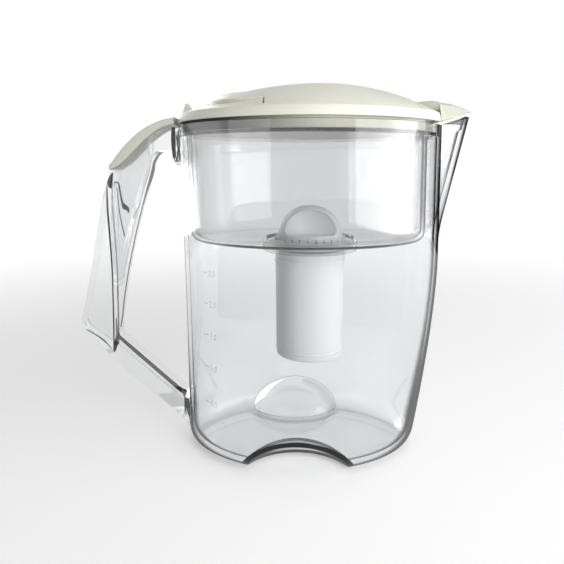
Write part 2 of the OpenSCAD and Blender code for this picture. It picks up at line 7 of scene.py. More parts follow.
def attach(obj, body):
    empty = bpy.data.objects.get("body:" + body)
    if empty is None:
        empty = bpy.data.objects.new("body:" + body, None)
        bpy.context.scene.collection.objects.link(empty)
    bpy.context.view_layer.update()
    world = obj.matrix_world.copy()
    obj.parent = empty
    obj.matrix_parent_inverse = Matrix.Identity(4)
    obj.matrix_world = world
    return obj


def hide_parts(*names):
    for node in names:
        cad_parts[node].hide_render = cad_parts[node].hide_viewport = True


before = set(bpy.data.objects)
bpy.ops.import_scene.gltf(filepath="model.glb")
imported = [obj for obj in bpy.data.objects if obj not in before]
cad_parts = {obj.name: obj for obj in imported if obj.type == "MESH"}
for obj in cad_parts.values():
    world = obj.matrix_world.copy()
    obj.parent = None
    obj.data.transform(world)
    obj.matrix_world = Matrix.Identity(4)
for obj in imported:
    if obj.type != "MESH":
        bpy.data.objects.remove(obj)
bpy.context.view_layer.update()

mm = 0.001
scene = bpy.context.scene

print("helpers")


def linear(r, g, b):
    # a colour picked on screen, as the renderer wants it
    return tuple(c / 12.92 if c <= 0.04045 else ((c + 0.055) / 1.055) ** 2.4 for c in (r, g, b)) + (1.0,)


def newObject(name, mesh):
    piece = bpy.data.objects.new(name, mesh)
    scene.collection.objects.link(piece)
    return piece


def smoothFaces(mesh, degrees=32):
    mesh.polygons.foreach_set("use_smooth", [True] * len(mesh.polygons))
    mesh.set_sharp_from_angle(angle=math.radians(degrees))
    mesh.update()


def meshFrom(name, points, faces):
    # points in millimetres
    mesh = bpy.data.meshes.new(name)
    mesh.from_pydata([(x * mm, y * mm, z * mm) for x, y, z in points], [], faces)
    mesh.update()
    return mesh


def tidyMesh(mesh, weld=0.00001):
    work = bmesh.new()
    work.from_mesh(mesh)
    bmesh.ops.remove_doubles(work, verts=work.verts, dist=weld)
    bmesh.ops.recalc_face_normals(work, faces=work.faces)
    work.to_mesh(mesh)
    work.free()
    return mesh


def solidFrom(name, points, faces):
    piece = newObject(name, meshFrom(name, points, faces))
    tidyMesh(piece.data)
    return piece


def bakeModifiers(piece):
    # the evaluated shape becomes a plain mesh again
    seen = piece.evaluated_get(bpy.context.evaluated_depsgraph_get())
    mesh = bpy.data.meshes.new_from_object(seen)
    old = piece.data
    piece.modifiers.clear()
    piece.data = mesh
    if old.users == 0:
        bpy.data.meshes.remove(old)
    return piece


def drop(piece):
    data = piece.data
    bpy.data.objects.remove(piece)
    if data.users == 0:
        kinds = bpy.data.meshes if isinstance(data, bpy.types.Mesh) else bpy.data.curves
        kinds.remove(data)


def combine(piece, others, kind):
    # kind is UNION, DIFFERENCE or INTERSECT; the others are used up
    for other in others:
        step = piece.modifiers.new(kind, "BOOLEAN")
        step.operation = kind
        step.solver = "EXACT"
        step.object = other
    bakeModifiers(piece)
    for other in others:
        drop(other)
    return piece


def block(name, low, high):
    (x0, y0, z0), (x1, y1, z1) = low, high
    points = [(x, y, z) for z in (z0, z1) for y in (y0, y1) for x in (x0, x1)]
    faces = [(0, 2, 3, 1), (4, 5, 7, 6), (0, 1, 5, 4), (2, 6, 7, 3), (0, 4, 6, 2), (1, 3, 7, 5)]
    return newObject(name, meshFrom(name, points, faces))


def turned(name, profile, centre=(0, 0), steps=96):
    # profile of (radius, height) from the axis at the bottom to the axis at the top,
    # or a closed loop away from the axis, outside first
    points, faces, rows = [], [], []
    for r, z in profile:
        if r < 1e-6:
            rows.append([len(points)] * steps)
            points.append((centre[0], centre[1], z))
        else:
            rows.append(list(range(len(points), len(points) + steps)))
            points += [(centre[0] + r * math.cos(2 * math.pi * i / steps),
                        centre[1] + r * math.sin(2 * math.pi * i / steps), z) for i in range(steps)]
    for low, high in zip(rows, rows[1:] + ([rows[0]] if profile[0][0] > 1e-6 else [])):
        for i in range(steps):
            j = (i + 1) % steps
            corner = [low[i], low[j], high[j], high[i]]
            face = [v for k, v in enumerate(corner) if v != corner[k - 1]]
            if len(face) > 2:
                faces.append(face)
    return solidFrom(name, points, faces)


def ball(name, centre, radius, steps=128):
    half = steps // 2
    profile = [(radius * math.sin(math.pi * i / half), centre[2] - radius * math.cos(math.pi * i / half))
               for i in range(half + 1)]
    profile[0] = (0, centre[2] - radius)
    profile[-1] = (0, centre[2] + radius)
    return turned(name, profile, centre[:2], steps)


def bevelled(piece, width, segments, degrees):
    step = piece.modifiers.new("edge", "BEVEL")
    step.width = width * mm
    step.segments = segments
    step.limit_method = "ANGLE"
    step.angle_limit = math.radians(degrees)
    step.use_clamp_overlap = True
    step.harden_normals = False
    return bakeModifiers(piece)


def ringFaces(n, m):
    # the quads between n rings of m points each
    return [[j * m + i, j * m + (i + 1) % m, (j + 1) * m + (i + 1) % m, (j + 1) * m + i]
            for j in range(n - 1) for i in range(m)]


def ringSolid(name, rings, top=None):
    # closed skin through rings of points, flat at both ends or fanned out from a top
    n, m = len(rings), len(rings[0])
    points = [p for ring in rings for p in ring]
    faces = [list(range(m))[::-1]] + ringFaces(n, m)
    end = list(range((n - 1) * m, n * m))
    if top:
        points.append(top)
        faces += [[a, b, n * m] for a, b in zip(end, end[1:] + end[:1])]
    else:
        faces.append(end)
    return solidFrom(name, points, faces)


def slab(name, outline, width):
    # outline of (x, z) pushed out to both sides of the middle plane
    return ringSolid(name, [[(x, y, z) for x, z in outline] for y in (-width / 2, width / 2)])


def prism(name, outline, low, high):
    # outline of (x, y) raised from low to high
    return ringSolid(name, [[(x, y, z) for x, y in outline] for z in (low, high)])


def dress(piece, material):
    piece.data.materials.clear()
    piece.data.materials.append(material)


def place(piece, body, nodes, slotName, material):
    dress(piece, material)
    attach(piece, body)
    for nodeName in nodes:
        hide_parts(nodeName)


def feed(tree, socket, value):
    # a node, a field or a socket is linked, and anything else is set
    if isinstance(value, bpy.types.Node):
        value = value.outputs[0]
    value = getattr(value, "socket", value)
    if isinstance(value, bpy.types.NodeSocket):
        tree.links.new(value, socket)
    else:
        socket.default_value = value


def addNode(tree, kind, *values, settings=None, **inputs):
    # values go in by order, and inputs by name
    node = tree.nodes.new(kind)
    for key, value in (settings or {}).items():
        setattr(node, key, value)
    for socket, value in zip(node.inputs, values):
        feed(tree, socket, value)
    for key, value in inputs.items():
        feed(tree, node.inputs[key.replace("_", " ")], value)
    return node


class Field:
    # a number that varies over a grid or a surface, with ordinary arithmetic
    def __init__(self, tree, socket):
        self.tree, self.socket = tree, socket

    def math(self, kind, *others, turn=False):
        values = [self, *others]
        if turn:
            values.reverse()
        node = addNode(self.tree, "ShaderNodeMath", *values, settings={"operation": kind})
        return Field(self.tree, node.outputs[0])

    def __add__(self, other):
        return self.math("ADD", other)

    def __sub__(self, other):
        return self.math("SUBTRACT", other)

    def __rsub__(self, other):
        return self.math("SUBTRACT", other, turn=True)

    def __mul__(self, other):
        return self.math("MULTIPLY", other)

    def __truediv__(self, other):
        return self.math("DIVIDE", other)

    def __pow__(self, other):
        return self.math("POWER", other)

    def size(self):
        return self.math("ABSOLUTE")

    def least(self, other):
        return self.math("MINIMUM", other)

    def most(self, other):
        return self.math("MAXIMUM", other)

    def held(self):
        return self.least(1.0).most(0.0)

    def ramp(self, low, high):
        # 0 at low, 1 at high, eased; low may be the larger
        ends = (0.0, 1.0) if low < high else (1.0, 0.0)
        node = addNode(self.tree, "ShaderNodeMapRange", self, min(low, high), max(low, high), *ends,
                       settings={"interpolation_type": "SMOOTHSTEP"})
        return Field(self.tree, node.outputs["Result"])

    def band(self, low, high, soft):
        return self.ramp(low - soft, low) * self.ramp(high + soft, high)


def split(tree, vector):
    parts = addNode(tree, "ShaderNodeSeparateXYZ", vector)
    return [Field(tree, parts.outputs[k]) for k in range(3)]


# sizes, as in the part
jugSizes = {"height": 239, "back": 91.7, "front": 94.8, "width": 139, "wall": 3, "rimWall": 1.9,
            "floor": 3.6, "spoutReach": 22, "spoutRise": 7.6, "spoutFrom": 155, "ledgeDepth": 9.8,
            "flare": 4.3, "bellyIn": 17.3, "bellyHeight": 140, "taper": 10.5,
            "footHeight": 14, "footBack": 11.7, "footFront": 7.5, "footSide": 12,
            "crease": 12, "ovalPower": 2 / 1.85}
scoopSizes = {"radius": 49.6, "x": -10.7, "y": 67, "drop": 26.2}
lugSizes = {"width": 16, "out": 3.6, "upper": (222, 234), "lower": (22, 34), "upperIn": 1.2, "lowerIn": 0.6}
hopperSizes = {"floor": 156.5, "wall": 2.4, "backGap": 2.3, "sideGap": 1.6, "frontGap": 7, "corner": 7,
               "flange": 2.2, "flangeCut": 8.6, "weirWidth": 30, "weirHeight": 6,
               "socketDepth": 7.5, "socketWall": 2.4, "socket": 65, "bore": 54.2}

ledgeHeight = jugSizes["height"] - jugSizes["ledgeDepth"]
flangeLow = ledgeHeight + 0.1
flangeTop = flangeLow + hopperSizes["flange"]
rimX = -jugSizes["back"] - jugSizes["flare"]


def signedPower(v, p):
    return math.copysign(abs(v) ** p, v)


print("oval skins")


skinInputs = {"Around": 240, "Up": 60, "Low": 0.0, "High": float(jugSizes["height"]),
              "Inset Back": 0.0, "Inset Front": 0.0, "Inset Side": 0.0,
              "Corner Height": float(jugSizes["footHeight"]), "Corner Back": jugSizes["footBack"],
              "Corner Front": jugSizes["footFront"], "Corner Side": float(jugSizes["footSide"]),
              "Shape At": -1.0, "Spout": 1.0, "Spout Inset": 0.0}


def startTree(name, sizes):
    # a tree with a named input for each size and one for the finish
    tree = bpy.data.node_groups.new(name, "GeometryNodeTree")
    tree.interface.new_socket("Geometry", in_out="OUTPUT", socket_type="NodeSocketGeometry")
    tree.interface.new_socket("Geometry", in_out="INPUT", socket_type="NodeSocketGeometry")
    for label, value in sizes.items():
        kind = "NodeSocketInt" if isinstance(value, int) else "NodeSocketFloat"
        tree.interface.new_socket(label, in_out="INPUT", socket_type=kind).default_value = value
    tree.interface.new_socket("Material", in_out="INPUT", socket_type="NodeSocketMaterial")
    return tree, tree.nodes.new("NodeGroupInput").outputs


def endTree(tree, given, shape):
    solid = addNode(tree, "GeometryNodeRealizeInstances", shape)
    paint = addNode(tree, "GeometryNodeSetMaterial", Geometry=solid, Material=given["Material"])
    addNode(tree, "NodeGroupOutput", paint)
    return tree


def makeSkinTree():
    s = jugSizes
    tree, start = startTree("oval skin", skinInputs)
    given = {name: Field(tree, start[name]) for name in skinInputs}
    grid = addNode(tree, "GeometryNodeMeshGrid", Size_X=1, Size_Y=1, Vertices_X=given["Around"],
                   Vertices_Y=given["Up"])
    columns, rows, flat = split(tree, addNode(tree, "GeometryNodeInputPosition"))
    across = columns * 2.0          # -1 to 1 round the oval, 0 at the spout
    up = rows + 0.5                 # 0 to 1 from the floor to the top

    # more of the columns go to the spout, more of the rows to the foot
    spoutShare, disc, corner = 0.2, 0.05, 0.22
    step = across.size()
    turn = step.least(spoutShare) * (s["crease"] / spoutShare) \
        + (step - spoutShare).most(0.0) * ((180 - s["crease"]) / (1 - spoutShare))
    angle = turn * (math.pi / 180)
    closing = (up / disc).least((1.0 - up) / disc).held()
    bend = ((up - disc) / corner).held() * (math.pi / 2)
    foot = 1.0 - bend.math("SINE")
    rise = (1.0 - bend.math("COSINE")) * given["Corner Height"]
    rest = ((up - (disc + corner)) / (1 - 2 * disc - corner)).held()
    height = given["Low"] + rise + rest * (given["High"] - given["Low"] - given["Corner Height"])
    # a flat ring keeps the outline of one height
    fixed = given["Shape At"].math("GREATER_THAN", 0.0)
    level = height * (1.0 - fixed) + given["Shape At"] * fixed

    back = (level / s["height"]) ** 2.0 * -s["flare"] - s["back"] \
        + foot * given["Corner Back"] + given["Inset Back"]
    front = s["front"] - (1.0 - level / s["bellyHeight"]).most(0.0) ** 1.5 * s["bellyIn"] \
        - foot * given["Corner Front"] - given["Inset Front"]
    half = s["width"] / 2 - (1.0 - level / s["height"]).most(0.0) ** 2.0 * s["taper"] \
        - foot * given["Corner Side"] - given["Inset Side"]
    # the spout leans out of the front and rises to its tip
    near = (1.0 - turn / s["crease"]).most(0.0)
    spoutHeight = s["height"] - s["spoutFrom"]
    lift = ((level - s["spoutFrom"]).most(0.0) / spoutHeight) ** 2.0 * near * s["spoutRise"] * given["Spout"]
    reach = ((level + lift - s["spoutFrom"]).most(0.0) * (s["spoutReach"] / (spoutHeight + s["spoutRise"]))
             - given["Spout Inset"]).most(0.0) * given["Spout"]
    beak = reach * (1.0 - (turn / s["crease"]).least(1.0) ** 1.3)

    cosine, sine = angle.math("COSINE"), angle.math("SINE").size()
    along = cosine.math("SIGN") * cosine.size() ** s["ovalPower"]
    x = (back + front) * 0.5 + ((front - back) * 0.5 * along + beak) * closing
    y = half * sine ** s["ovalPower"] * across.math("SIGN") * closing
    spot = addNode(tree, "ShaderNodeCombineXYZ", x * mm, y * mm, (height + lift) * mm)
    shape = addNode(tree, "GeometryNodeSetPosition", Geometry=grid, Position=spot)
    return endTree(tree, start, addNode(tree, "GeometryNodeMergeByDistance", shape, Distance=0.00002))


skinTree = makeSkinTree()


def setInputs(modifier, values):
    for socket in modifier.node_group.interface.items_tree:
        if socket.item_type == "SOCKET" and socket.in_out == "INPUT" and socket.name in values:
            modifier[socket.identifier] = values[socket.name]


def ovalSkin(name, **values):
    wanted = {key.replace("_", " ").title(): value for key, value in values.items()}
    piece = newObject(name, bpy.data.meshes.new(name))
    step = piece.modifiers.new("skin", "NODES")
    step.node_group = skinTree
    setInputs(step, {**skinInputs, **{key: (value if key in ("Around", "Up") else float(value))
                                      for key, value in wanted.items()}})
    bakeModifiers(piece)
    tidyMesh(piece.data)
    return piece


def insetAll(v):
    return {"inset_back": v, "inset_front": v, "inset_side": v, "spout_inset": 0.6 * v}


noCorner = {"corner_height": 0, "corner_back": 0, "corner_front": 0, "corner_side": 0}

print("finishes")


def newMaterial(name):
    material = bpy.data.materials.new(name)
    material.use_nodes = True
    material.node_tree.nodes.clear()
    return material, material.node_tree


def finishWith(tree, shader):
    addNode(tree, "ShaderNodeOutputMaterial", shader)


def onObject(tree):
    return addNode(tree, "ShaderNodeTexCoord").outputs["Object"]


def noise(tree, vector, scale, detail):
    return addNode(tree, "ShaderNodeTexNoise", Vector=vector, Scale=scale, Detail=detail).outputs["Fac"]


def pits(tree, height, strength, depth):
    return addNode(tree, "ShaderNodeBump", Strength=strength, Distance=depth, Height=height)


def remapped(tree, value, low, high):
    return addNode(tree, "ShaderNodeMapRange", Value=value, To_Min=low, To_Max=high)


def colourRamp(tree, amount, first, last, between=()):
    # each stop is a place and its colour
    node = addNode(tree, "ShaderNodeValToRGB", amount)
    stops = node.color_ramp.elements
    for k, (position, colour) in enumerate((first, last)):
        stops[k].position = position
        stops[k].color = linear(*colour)
    for position, colour in between:
        stops.new(position).color = linear(*colour)
    return node.outputs["Color"]


def mixColour(tree, share, first, second, kind="MIX"):
    node = tree.nodes.new("ShaderNodeMix")
    node.data_type = "RGBA"
    node.blend_type = kind
    for place, value in ((0, share), (6, first), (7, second)):      # the sockets for colours
        feed(tree, node.inputs[place], value)
    return node.outputs[2]


def grey(level):
    return linear(level, level, level)


def clearPlastic(name, look):
    # thin clear wall: light goes straight through, less of it where the wall is seen edge on
    material, tree = newMaterial(name)
    spot = onObject(tree)
    bump = pits(tree, noise(tree, spot, look["flow"], 2.0), look["ripple"], 0.001)
    shape = addNode(tree, "ShaderNodeNewGeometry")
    x, y, z = split(tree, spot)
    nx, ny, nz = split(tree, shape.outputs["Normal"])
    outer = Field(tree, shape.outputs["Backfacing"]).math("LESS_THAN", 0.5)     # seen from its own side
    edgeOn = Field(tree, addNode(tree, "ShaderNodeLayerWeight", Blend=0.5).outputs["Facing"])
    edgeOn = edgeOn - (1.0 - outer) * look["insideLess"]
    for zone in look.get("thick", []):
        # the dark edge is made broader towards the foot
        edgeOn = edgeOn + z.ramp(zone["gone"] * mm, zone["full"] * mm) * zone["more"]
    for zone in look.get("sides", []):
        # painted reflection of the dark card: away from it the edges are painted light, towards it broad
        above = z.ramp(zone["above"] * mm, (zone["above"] + 30) * mm)
        edgeOn = edgeOn + x.ramp(zone["gone"] * mm, zone["full"] * mm) * above * zone["more"]
    tint = colourRamp(tree, edgeOn, (look["edgeFrom"], look["face"]), (look["edgeTo"], look["edge"]),
                      look.get("between", ()))
    # level faces are looked along, not through, so they keep a plain tint
    tint = mixColour(tree, nz.size().ramp(0.96, 0.995), tint, linear(*look["level"]))
    # painted shade: where a floor or flange behind the wall is looked into edge on, a dark band is painted on
    # the wall
    upright = nz.size().ramp(0.97, 0.9) * outer
    for low, high, dark, far in look.get("paintedSlabs", []):
        # painted darker on the near side than on the other
        band = z.band(low * mm, high * mm, 0.25 * mm) * upright
        tint = mixColour(tree, band, tint, mixColour(tree, y.ramp(-0.02, 0.02), grey(dark), grey(far)))
    if "scoop" in look:
        # painted shade: a dark band is painted along the arch of each scoop in the jug wall, where its wall
        # is looked into edge on
        s = look["scoop"]
        away = [x - s["x"] * mm, y.size() - s["y"] * mm, z + s["drop"] * mm]
        far = (away[0] * away[0] + away[1] * away[1] + away[2] * away[2]).math("SQRT")
        along = (away[0] * nx + away[1] * ny * y.math("SIGN") + away[2] * nz).size()
        cross = (along - far * 0.85).ramp(0.002, -0.002)
        arch = far.ramp((s["radius"] + s["wall"] + 0.3) * mm, (s["radius"] + s["wall"]) * mm)
        tint = mixColour(tree, arch * cross * outer, tint, grey(s["dark"]))
    if "ridge" in look:
        # painted shade: a dark band along the fold of the spout, which is solid
        r = look["ridge"]
        fold = y.size().ramp(r["half"] * mm, r["half"] * 0.4 * mm)
        tint = mixColour(tree, fold * x.ramp(r["from"] * mm, (r["from"] + 12) * mm), tint, grey(r["dark"]))
    through = addNode(tree, "ShaderNodeBsdfTransparent", Color=tint)
    gloss = addNode(tree, "ShaderNodeBsdfGlossy", Color=linear(*look["shineColour"]),
                    Roughness=look["roughness"], Normal=bump)
    fresnel = Field(tree, addNode(tree, "ShaderNodeFresnel", IOR=look["mirror"]).outputs[0])
    share = (fresnel * look["shine"]).least(look["shineMost"])
    finishWith(tree, addNode(tree, "ShaderNodeMixShader", share, through, gloss))
    return material


def solidPlastic(name, look):
    # moulded plastic: slight mottling, a fine skin and tiny pits
    material, tree = newMaterial(name)
    spot = onObject(tree)
    skin = noise(tree, spot, look["skinScale"], 3.0)
    mottle = noise(tree, spot, look["mottleScale"], 4.0)
    finishWith(tree, addNode(
        tree, "ShaderNodeBsdfPrincipled", IOR=look.get("ior", 1.5),
        Base_Color=colourRamp(tree, mottle, (0.35, look["dark"]), (0.65, look["light"])),
        Roughness=remapped(tree, skin, look["roughness"] - 0.04, look["roughness"] + 0.04),
        Normal=pits(tree, skin, look["bump"], 0.0003)))
    return material


def paintedSideShade(material, far, near, dark, inside=None):
    # painted shade: the colour deepens from one side to the other, standing in for less light on that side;
    # an inner face may be left pale
    tree = material.node_tree
    paint = next(node for node in tree.nodes if node.type == "BSDF_PRINCIPLED")
    x, y, z = split(tree, onObject(tree))
    colour = mixColour(tree, x.ramp(near * mm, far * mm), paint.inputs["Base Color"].links[0].from_socket,
                       grey(dark), "MULTIPLY")
    if inside:
        nx, ny, nz = split(tree, addNode(tree, "ShaderNodeNewGeometry").outputs["Normal"])
        colour = mixColour(tree, (x * nx + y * ny).math("LESS_THAN", -0.01), colour, linear(*inside))
    feed(tree, paint.inputs["Base Color"], colour)


def grains(name, look):
    # packed grains or beads, each with its own shade
    material, tree = newMaterial(name)
    cells = addNode(tree, "ShaderNodeTexVoronoi", Vector=onObject(tree), Scale=look["scale"]).outputs[0]
    bump = pits(tree, cells, 0.8, 0.0005)
    bump.invert = True
    finishWith(tree, addNode(tree, "ShaderNodeBsdfPrincipled", Roughness=look["roughness"], Normal=bump,
                             Base_Color=colourRamp(tree, cells, (0.0, look["light"]), (0.7, look["dark"]))))
    return material


def drawnSteel(name):
    material, tree = newMaterial(name)
    stretch = addNode(tree, "ShaderNodeMapping", onObject(tree), Scale=(4000, 60, 4000))
    lines = noise(tree, stretch, 1.0, 2.0)
    finishWith(tree, addNode(
        tree, "ShaderNodeBsdfPrincipled", Metallic=1.0, Roughness=remapped(tree, lines, 0.22, 0.42),
        Base_Color=colourRamp(tree, lines, (0.0, (0.66, 0.67, 0.69)), (1.0, (0.8, 0.81, 0.82)))))
    return material


jugLook = {"face": (0.988, 0.989, 0.99), "edge": (0.03, 0.03, 0.033), "level": (0.965, 0.968, 0.97),
           "edgeFrom": 0.68, "edgeTo": 0.92, "between": [(0.78, (0.8, 0.8, 0.81)), (0.85, (0.3, 0.3, 0.31))],
           "shineColour": (0.98, 0.98, 0.98), "roughness": 0.03, "mirror": 1.45, "shine": 1.0,
           "shineMost": 0.2, "flow": 18.0, "ripple": 0.1, "insideLess": 0.05}
jugWallLook = {**jugLook, "thick": [{"gone": 110, "full": 20, "more": 0.13}],
               "paintedSlabs": [(0.2, jugSizes["floor"], 0.35, 0.35),
                         (jugSizes["height"] - 0.7, jugSizes["height"] + 9, 0.5, 0.75)],
               "sides": [{"gone": -40, "full": -88, "above": 18, "more": -0.1},
                         {"gone": 45, "full": 90, "above": -40, "more": 0.07}],
               "scoop": {**scoopSizes, "wall": jugSizes["wall"], "dark": 0.12},
               "ridge": {"from": 95, "half": 2.4, "dark": 0.08}}
hopperLook = {**jugLook, "face": (0.962, 0.962, 0.963), "edge": (0.05, 0.05, 0.05), "edgeFrom": 0.75,
              "between": [(0.84, (0.7, 0.7, 0.7)), (0.9, (0.3, 0.3, 0.3))], "level": (0.93, 0.93, 0.93),
              "sides": [{"gone": 30, "full": 80, "above": 150, "more": 0.08},
                        {"gone": -30, "full": -75, "above": 140, "more": 0.08}],
              "paintedSlabs": [(hopperSizes["floor"] - hopperSizes["wall"] - 0.3, hopperSizes["floor"], 0.03, 0.4),
                        (flangeLow, flangeTop, 0.4, 0.85)]}
handleLook = {**jugLook, "face": (0.975, 0.976, 0.977), "edge": (0.03, 0.03, 0.035), "edgeFrom": 0.77,
              "edgeTo": 0.95, "between": [(0.87, (0.6, 0.6, 0.61))], "shineMost": 0.22}

clearJug = clearPlastic("clear jug plastic", jugWallLook)
clearHopper = clearPlastic("clear hopper plastic", hopperLook)
clearHandle = clearPlastic("clear handle plastic", handleLook)
scaleTint = clearPlastic("scale marks", {
    **jugLook, "face": (0.94, 0.945, 0.95), "edge": (0.86, 0.86, 0.88), "between": [],
    "level": (0.85, 0.85, 0.87), "insideLess": 0.0, "shineMost": 0.05})
# painted shade: the ribs along the handle's creases are tinted dark, much darker than the handle's clear
# plastic
paintedCreaseShade = clearPlastic("moulded crease", {
    **handleLook, "face": (0.4, 0.4, 0.4), "edge": (0.08, 0.08, 0.08), "edgeFrom": 0.1, "edgeTo": 0.8,
    "between": [(0.45, (0.26, 0.26, 0.26))], "level": (0.35, 0.35, 0.35), "insideLess": 0.0})
lidLook = {"light": (0.94, 0.94, 0.893), "dark": (0.915, 0.915, 0.864), "mottleScale": 14.0,
           "skinScale": 700.0, "roughness": 0.42, "bump": 0.03, "ior": 1.22}
ivoryGloss = solidPlastic("ivory lid plastic", lidLook)
# painted shade: the ivory plastic of lid, hatch, tray and handle cap is darkened towards the left
paintedSideShade(ivoryGloss, -150, 0, 0.86)
# painted shade: a darker copy of the lid plastic, for the spout flap
shadedFlapGloss = solidPlastic("ivory flap plastic, painted shade", {
    **lidLook, "light": (0.83, 0.83, 0.78), "dark": (0.81, 0.81, 0.76)})
skirtOlive = solidPlastic("olive skirt plastic", {
    "light": (0.82, 0.82, 0.765), "dark": (0.75, 0.75, 0.695), "mottleScale": 40.0,
    "skinScale": 700.0, "roughness": 0.6, "bump": 0.05})
# painted shade: the skirt darkens almost to black towards the left; its inner faces stay pale
paintedSideShade(skirtOlive, -66, 6, 0.06, (0.97, 0.97, 0.96))
whiteMatte = solidPlastic("white cartridge plastic", {
    "light": (0.93, 0.93, 0.935), "dark": (0.905, 0.905, 0.91), "mottleScale": 22.0,
    "skinScale": 1500.0, "roughness": 0.5, "bump": 0.2})
# painted shade: the cartridge plastic darkens towards the left
paintedSideShade(whiteMatte, -29, -6, 0.8, (0.93, 0.93, 0.935))
sealRubber = solidPlastic("seal rubber", {
    "light": (0.62, 0.62, 0.63), "dark": (0.56, 0.56, 0.57), "mottleScale": 60.0,
    "skinScale": 1800.0, "roughness": 0.6, "bump": 0.3})
feltWhite = solidPlastic("felt", {
    "light": (0.9, 0.9, 0.88), "dark": (0.76, 0.76, 0.73), "mottleScale": 900.0,
    "skinScale": 2500.0, "roughness": 0.9, "bump": 1.0})
carbonGrains = grains("carbon grains", {"scale": 900.0, "light": (0.2, 0.2, 0.2), "dark": (0.03, 0.03, 0.03),
                                        "roughness": 0.55})
resinBeads = grains("resin beads", {"scale": 1400.0, "light": (0.86, 0.66, 0.34), "dark": (0.4, 0.25, 0.09),
                                    "roughness": 0.25})
pinSteel = drawnSteel("drawn steel")

print("jug")


def scoopBall(side, radius):
    s = scoopSizes
    return ball("scoop", (s["x"], side * s["y"], -s["drop"]), radius)


def lugBlocks(gap):
    # what carries the handle, and with a gap the room for it
    s, half = lugSizes, lugSizes["width"] / 2 + gap
    upper, lower = (rimX + s["upperIn"], s["upper"]), (s["lowerIn"] - jugSizes["back"], s["lower"])
    return [block("lug", (x - s["out"] - gap, -half, low - gap), (x + s["out"], half, high + gap))
            for x, (low, high) in (upper, lower)]


def jugOutside(name, grow=0.0):
    return ovalSkin(name, low=0, high=jugSizes["height"], up=90, **insetAll(-grow))


jugSkin = jugOutside("jug_skin")
inner = ovalSkin("inner", low=jugSizes["floor"], high=jugSizes["height"] + 6, up=90,
                 **insetAll(jugSizes["wall"]))
combine(inner, [scoopBall(side, scoopSizes["radius"] + jugSizes["wall"]) for side in (-1, 1)], "DIFFERENCE")
recess = ovalSkin("recess", low=ledgeHeight, high=jugSizes["height"] + 6, up=30,
                  **noCorner, **insetAll(jugSizes["rimWall"]))
for lug in lugBlocks(0):
    combine(jugSkin, [lug], "UNION")
combine(jugSkin, [inner, recess], "DIFFERENCE")
combine(jugSkin, [scoopBall(side, scoopSizes["radius"]) for side in (-1, 1)], "DIFFERENCE")
smoothFaces(jugSkin.data, 35)
place(jugSkin, "jug", ["jug_shell"], "jug_clear", clearJug)

print("scale")
scaleSizes = {"marks": {"0.5": 43, "1.0": 69, "1.5": 92, "2.0": 114.5, "2.5": 136},
              "figure": 6.0, "tick": (5.0, 0.5), "turn": 146.5, "depth": 1.4, "thick": 0.15, "gap": 1.2}


def wallAt(z, turn, depth):
    # a point in the jug wall, and the way along the wall there
    j = jugSizes
    back = -j["back"] - j["flare"] * (z / j["height"]) ** 2 + depth
    front = j["front"] - j["bellyIn"] * max(0, 1 - z / j["bellyHeight"]) ** 1.5 - depth
    half = j["width"] / 2 - j["taper"] * (1 - z / j["height"]) ** 2 - depth

    def spot(t):
        t = math.radians(t)
        return Vector(((back + front) / 2 + (front - back) / 2 * signedPower(math.cos(t), j["ovalPower"]),
                       -half * signedPower(math.sin(t), j["ovalPower"]), z))
    return spot(turn), (spot(turn - 0.5) - spot(turn + 0.5)).normalized()


def scaleMarks():
    points, faces = [], []
    s = scaleSizes
    for label, z in s["marks"].items():
        origin, along = wallAt(z, s["turn"], s["depth"])
        out = Vector((along.y, -along.x, 0))
        text = bpy.data.curves.new("figure", "FONT")
        text.body, text.size, text.extrude = label, s["figure"], s["thick"]
        holder = newObject("figure", text)
        flat = bpy.data.meshes.new_from_object(holder.evaluated_get(bpy.context.evaluated_depsgraph_get()))
        drop(holder)
        wide, high = s["tick"]
        bars = [(0, -high / 2), (wide, -high / 2), (wide, high / 2), (0, high / 2)]
        shapes = [([(v.co.x + wide + s["gap"], v.co.y - s["figure"] * 0.35, v.co.z) for v in flat.vertices],
                   [list(f.vertices) for f in flat.polygons]),
                  ([(a, b, d) for d in (-s["thick"], s["thick"]) for a, b in bars],
                   [[3, 2, 1, 0], [4, 5, 6, 7]] + ringFaces(2, 4))]
        for spots, sides in shapes:
            faces += [[len(points) + i for i in side] for side in sides]
            points += [tuple(origin + along * a + Vector((0, 0, b)) + out * d) for a, b, d in spots]
    place(solidFrom("scale_marks", points, faces), "jug", [], "jug_clear", scaleTint)


scaleMarks()

print("hopper")


def hopperSkin(name, inset, low, high):
    s, j = hopperSizes, jugSizes
    return ovalSkin(name, low=low, high=high, up=70, spout=0,
                    inset_back=j["wall"] + s["backGap"] + inset,
                    inset_front=j["wall"] + s["frontGap"] + inset,
                    inset_side=j["wall"] + s["sideGap"] + inset,
                    corner_height=s["corner"], corner_back=s["corner"], corner_front=s["corner"],
                    corner_side=s["corner"])


hopper = hopperSkin("hopper", 0, hopperSizes["floor"] - hopperSizes["wall"], flangeTop)
flange = ovalSkin("flange", low=flangeLow, high=flangeTop, up=20, spout=0, shape_at=ledgeHeight,
                  **noCorner, **insetAll(jugSizes["rimWall"] + 0.4))
cutX = jugSizes["front"] - hopperSizes["flangeCut"]
combine(flange, [block("cut", (cutX, -90, flangeLow - 3), (cutX + 60, 90, flangeTop + 3))], "DIFFERENCE")
seatZ = hopperSizes["floor"] - hopperSizes["socketDepth"]
cupR = hopperSizes["socket"] / 2 + hopperSizes["socketWall"]
cupLow = seatZ - hopperSizes["socketWall"]
cup = turned("cup", [(0, cupLow), (cupR - 1, cupLow), (cupR - 0.3, cupLow + 0.3), (cupR, cupLow + 1),
                     (cupR, hopperSizes["floor"]), (0, hopperSizes["floor"])])
weirX, weirHalf = cutX - 3, hopperSizes["weirWidth"] / 2
